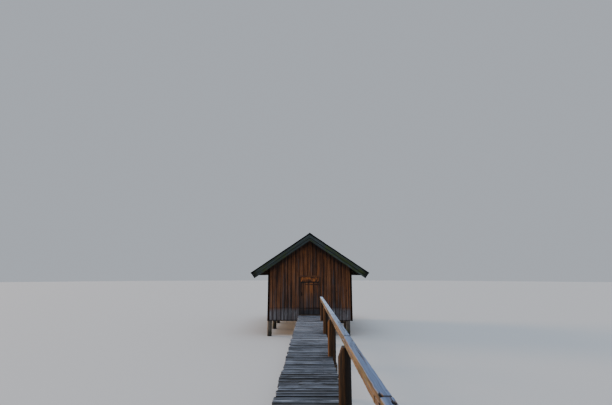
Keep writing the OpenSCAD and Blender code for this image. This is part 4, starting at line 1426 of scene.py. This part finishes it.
class OBJECT_OT_boathouse_roofing(BoathousePart, bpy.types.Operator):
    """Builds the courses of felt, the ridge cap and their nails"""

    bl_idname = "object.boathouse_roofing"
    bl_label = "Roofing"

    def execute(self, context):
        sizes = settings("roofing")
        nails = Piece("roofing_nails")
        for name, side in SLOPES:
            self.slope(name, side, sizes, nails)
        self.cap(sizes)
        nails.finish("rusty_iron", "iron")
        return {"FINISHED"}

    def slope(self, name, side, sizes, nails):
        """One slope in lapped courses, each standing a little proud at its lower edge."""
        node = f"roof_cover_{name}"
        piece = Piece(f"{name}_roofing")
        down, out = slope_down(side), slope_normal(side)
        solid = solids(node)[0]
        low, high = extent(solid, down)
        surface = extent(solid, out)[1]
        first, last = extent(solid, Y)
        radius = settings("timber").nail_head
        lap, inset, above_edge, first_nail = 0.012, 0.06, 0.03, 0.08
        count = math.ceil((high - low) / sizes.course)
        for i in range(count):
            start = high - (i + 1) * (high - low) / count
            end = start + (high - low) / count
            bm = slab(solid, down, start, end)
            cross_cuts(bm, Y, 0.25)
            cross_cuts(bm, down, 0.15)
            mark_grain(bm, Grain(Y, out), piece.chance.random())
            seed = piece.chance.uniform(0, 90)
            for vert in bm.verts:
                share = (vert.co.dot(down) - start) / (end - start)
                wave = noise(Vector((vert.co.y * 2.1, seed, share * 3)))
                vert.co += out * (share * sizes.lap_step + wave * 0.0012)
                if share > 0.98 and i > 0:
                    vert.co += down * (lap + noise(Vector((vert.co.y * 1.7, seed, 7))) * lap / 2)
            piece.parts.append(bm)
            across = int((last - first) / sizes.nail_pitch)
            for k in range(across):
                y = first + inset + (last - first - 2 * inset) * k / (across - 1)
                place = Y * y + down * (end - above_edge) + out * (surface + sizes.lap_step - 0.001)
                nails.head(place, out, radius)
        for face in (-Y, Y):
            verge = face * extent(solid, face)[1] + out * (surface - above_edge)
            for k in range(int((high - low) / sizes.nail_pitch)):
                nails.head(verge + down * (low + first_nail + k * sizes.nail_pitch), face, radius)
        piece.finish("grit_felt", "roof_felt", replaces=[node])

    def cap(self, sizes):
        """Ridge cap in lapped lengths."""
        piece = Piece("ridge_cap_felt")
        halves = solids("ridge_cap")
        edges = random_edges(piece.chance, *extent(halves[0], Y), sizes.cap_piece, 0.05)
        for start, end in zip(edges, edges[1:]):
            tone, seed = piece.chance.random(), piece.chance.uniform(0, 90)
            for half in halves:
                bm = slab(half, Y, start, end)
                cross_cuts(bm, Y, 0.12)
                mark_grain(bm, Grain(Y, Z), tone)
                for vert in bm.verts:
                    share = (vert.co.y - start) / (end - start)
                    wave = noise(Vector((vert.co.y * 3, seed, vert.co.x * 4)))
                    vert.co.z += share * sizes.lap_step + wave * 0.002
                piece.parts.append(bm)
        piece.finish("grit_felt", "roof_felt", replaces=["ridge_cap"])


class OBJECT_OT_boathouse_trims(BoathousePart, bpy.types.Operator):
    """Builds the barge boards, their trims and the fascias"""

    bl_idname = "object.boathouse_trims"
    bl_label = "Barge Boards"

    def execute(self, context):
        for node, finish in (
            ("front_barge_boards", "mossy_barge"), ("front_barge_trims", "mossy_trim"),
            ("back_barge_boards", "mossy_barge"), ("back_barge_trims", "mossy_trim"),
            ("eave_fascia_left", "mossy_trim"), ("eave_fascia_right", "mossy_trim"),
        ):
            timbers(f"{node}_sawn", node, finish, "trim_wood", step=0.25, wander=0.0015)
        return {"FINISHED"}


class OBJECT_OT_boathouse_door(BoathousePart, bpy.types.Operator):
    """Builds the door frame and the door's boards"""

    bl_idname = "object.boathouse_door"
    bl_label = "Door"

    def execute(self, context):
        self.frame()
        sizes = settings("boards")
        leaf = Boarding("door", X, -Y)
        parts = solids("door_leaf")
        low, high = extent(parts[0], X)
        edges = [low]
        for share in sizes.door_shares:
            edges.append(edges[-1] + (high - low) * share / sum(sizes.door_shares))
        leaf.add(parts, edges, sizes.door_joint)
        leaf.finish("stained_door", "door_wood", ["door_leaf"], DOOR)
        ledges, cross = Piece("door_ledge_boards"), Piece("door_cross_board")
        for bm in solids("door_ledges"):
            if extent(bm, -Y)[1] < extent(parts[0], -Y)[1]:
                ledges.board(bm, Grain(X, Y), arris=0.002, step=0.4, wander=0.0, rough=0.0)
            else:
                cross.board(bm, Grain(X, Y), arris=0.004, step=0.15, wander=0.002, rough=0.002)
        ledges.finish("stained_door", "door_wood", DOOR, ["door_ledges"])
        cross.finish("stained_cross_board", "door_wood", DOOR)
        return {"FINISHED"}

    def frame(self):
        """Jambs with upright grain and a head with level grain."""
        piece = Piece("door_frame_timbers")
        solid = solids("door_frame")[0]
        foot, top = extent(solid, Z)
        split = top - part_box("door_frame")[1].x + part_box("door_leaf")[1].x
        for jamb in islands(slab(solid, Z, foot, split)):
            piece.board(jamb, Grain(Z, Y), wander=0.0, rough=0.001)
        piece.board(slab(solid, Z, split + 0.001, top), Grain(X, Y), wander=0.0, rough=0.001)
        piece.finish("stained_jambs", "wall_wood", replaces=["door_frame"])


class OBJECT_OT_boathouse_gates(BoathousePart, bpy.types.Operator):
    """Builds the boat gates"""

    bl_idname = "object.boathouse_gates"
    bl_label = "Boat Gates"

    def execute(self, context):
        sizes = settings("boards")
        gates = Boarding("boat_gate", X, Y)
        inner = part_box("back_wall_left")[0].y
        for solid in solids("boat_gates"):
            leaf = slab(solid, Y, inner, inner + 1)
            edges = random_edges(gates.boards.chance, *extent(leaf, X), sizes.wall_width)
            gates.add([leaf], edges, sizes.wall_joint, ragged=WALL_RAGGED)
            for ledge in islands(slab(solid, Y, inner - 1, inner)):
                gates.boards.board(ledge, Grain(X, Y), step=0.4, wander=0.001, rough=0.001)
        gates.finish("stained_boards", "wall_wood", ["boat_gates"])
        return {"FINISHED"}


class OBJECT_OT_boathouse_ironwork(BoathousePart, bpy.types.Operator):
    """Gives the ironwork its finish and its bolts"""

    bl_idname = "object.boathouse_ironwork"
    bl_label = "Ironwork"

    def execute(self, context):
        for node in ("gate_straps", "hinge_pintles", "hinge_straps", "door_lock"):
            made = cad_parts[node]
            made.data.materials.clear()
            made.data.materials.append(material("rusty_iron"))
        self.strap_bolts("door_strap_bolts", "hinge_straps", -Y, DOOR)
        self.strap_bolts("gate_strap_bolts", "gate_straps", Y, MAIN)
        return {"FINISHED"}

    def strap_bolts(self, name, node, out, body):
        """Round bolt heads along the flat part of each strap."""
        piece = Piece(name)
        for strap in solids(node):
            left, right = extent(strap, X)
            flat = slab(strap, X, left, (left + right) / 2)
            surface = extent(flat, out)[1]
            for share in (0.14, 0.4, 0.66, 0.86):
                place = Vector((left + (right - left) * share, 0, middle(strap, Z))) + out * surface
                piece.head(place, out, radius=0.008, height=0.005, segments=12, taper=0.55)
        piece.finish("rusty_iron", "iron", body)


class OBJECT_OT_boathouse_stage(BoathousePart, bpy.types.Operator):
    """Builds the camera, the floor and the light"""

    bl_idname = "object.boathouse_stage"
    bl_label = "Stage"

    def execute(self, context):
        stage = settings("stage")
        self.camera(context.scene, stage)
        self.floor(context.scene, stage)
        self.sky(context.scene, stage)
        self.lamp("key_light", stage.key_tint, stage.key_power, 24, (79, 0, -108))
        self.lamp("top_light", stage.top_tint, stage.top_power, 60, (16, 0, 0))
        return {"FINISHED"}

    def camera(self, scene, stage):
        """Camera at the photograph's place."""
        data = bpy.data.cameras.new("camera")
        data.sensor_width = 36.0
        data.lens = stage.focal_px / stage.image_px * data.sensor_width
        data.clip_end = 500
        made = bpy.data.objects.new("camera", data)
        made.location = stage.eye
        made.rotation_euler = (math.pi / 2 + stage.pitch, 0, stage.turn)
        scene.collection.objects.link(made)
        scene.camera = made

    def floor(self, scene, stage):
        """Plain pale floor, just below the piles' feet."""
        bm = bmesh.new()
        bmesh.ops.create_circle(bm, cap_ends=True, segments=96, radius=stage.floor_reach)
        bmesh.ops.translate(bm, verts=bm.verts, vec=(0, 0, -0.002))
        mesh = bpy.data.meshes.new("floor")
        bm.to_mesh(mesh)
        bm.free()
        mesh.materials.append(material("plain_floor"))
        made = bpy.data.objects.new("floor", mesh)
        scene.collection.objects.link(made)

    def sky(self, scene, stage):
        """Even light from all round."""
        scene.world = bpy.data.worlds.new("sky")
        scene.world.use_nodes = True
        shade = scene.world.node_tree.nodes["Background"]
        shade.inputs["Color"].default_value = opaque(stage.sky_tint)
        shade.inputs["Strength"].default_value = stage.sky_power

    def lamp(self, name, tint, power, spread, turns):
        """Wide soft light from one side; its spread and turns are in degrees."""
        data = bpy.data.lights.new(name, "SUN")
        data.color = tint
        data.energy = power
        data.angle = math.radians(spread)
        made = bpy.data.objects.new(name, data)
        made.rotation_euler = [math.radians(value) for value in turns]
        bpy.context.scene.collection.objects.link(made)


OPERATORS = (
    OBJECT_OT_boathouse_end_walls,
    OBJECT_OT_boathouse_side_walls,
    OBJECT_OT_boathouse_deck,
    OBJECT_OT_boathouse_floors,
    OBJECT_OT_boathouse_logs,
    OBJECT_OT_boathouse_handrail,
    OBJECT_OT_boathouse_beams,
    OBJECT_OT_boathouse_frame,
    OBJECT_OT_boathouse_roof_boards,
    OBJECT_OT_boathouse_roofing,
    OBJECT_OT_boathouse_trims,
    OBJECT_OT_boathouse_door,
    OBJECT_OT_boathouse_gates,
    OBJECT_OT_boathouse_ironwork,
    OBJECT_OT_boathouse_stage,
)


class VIEW3D_PT_boathouse(bpy.types.Panel):
    """Buttons for every group of pieces"""

    bl_idname = "VIEW3D_PT_boathouse"
    bl_label = "Boathouse"
    bl_space_type = "VIEW_3D"
    bl_region_type = "UI"
    bl_category = "Boathouse"

    def draw(self, context):
        for operator in OPERATORS:
            self.layout.operator(operator.bl_idname)


GROUPS = {
    "boathouse_boards": BoardSizes,
    "boathouse_timber": TimberSizes,
    "boathouse_roofing": RoofingSizes,
    "boathouse_colours": Colours,
    "boathouse_stage": StageSettings,
}


def register():
    """Registers the settings, the operators and the panel."""
    for name, group in GROUPS.items():
        bpy.utils.register_class(group)
        setattr(bpy.types.Scene, name, PointerProperty(type=group))
    for part in (*OPERATORS, VIEW3D_PT_boathouse):
        bpy.utils.register_class(part)


def unregister():
    """Takes everything away again."""
    for part in (VIEW3D_PT_boathouse, *reversed(OPERATORS)):
        bpy.utils.unregister_class(part)
    for name, group in GROUPS.items():
        delattr(bpy.types.Scene, name)
        bpy.utils.unregister_class(group)


def main():
    """Builds everything."""
    register()
    for operator in OPERATORS:
        group, name = operator.bl_idname.split(".")
        getattr(getattr(bpy.ops, group), name)()


if __name__ == "__main__":
    main()
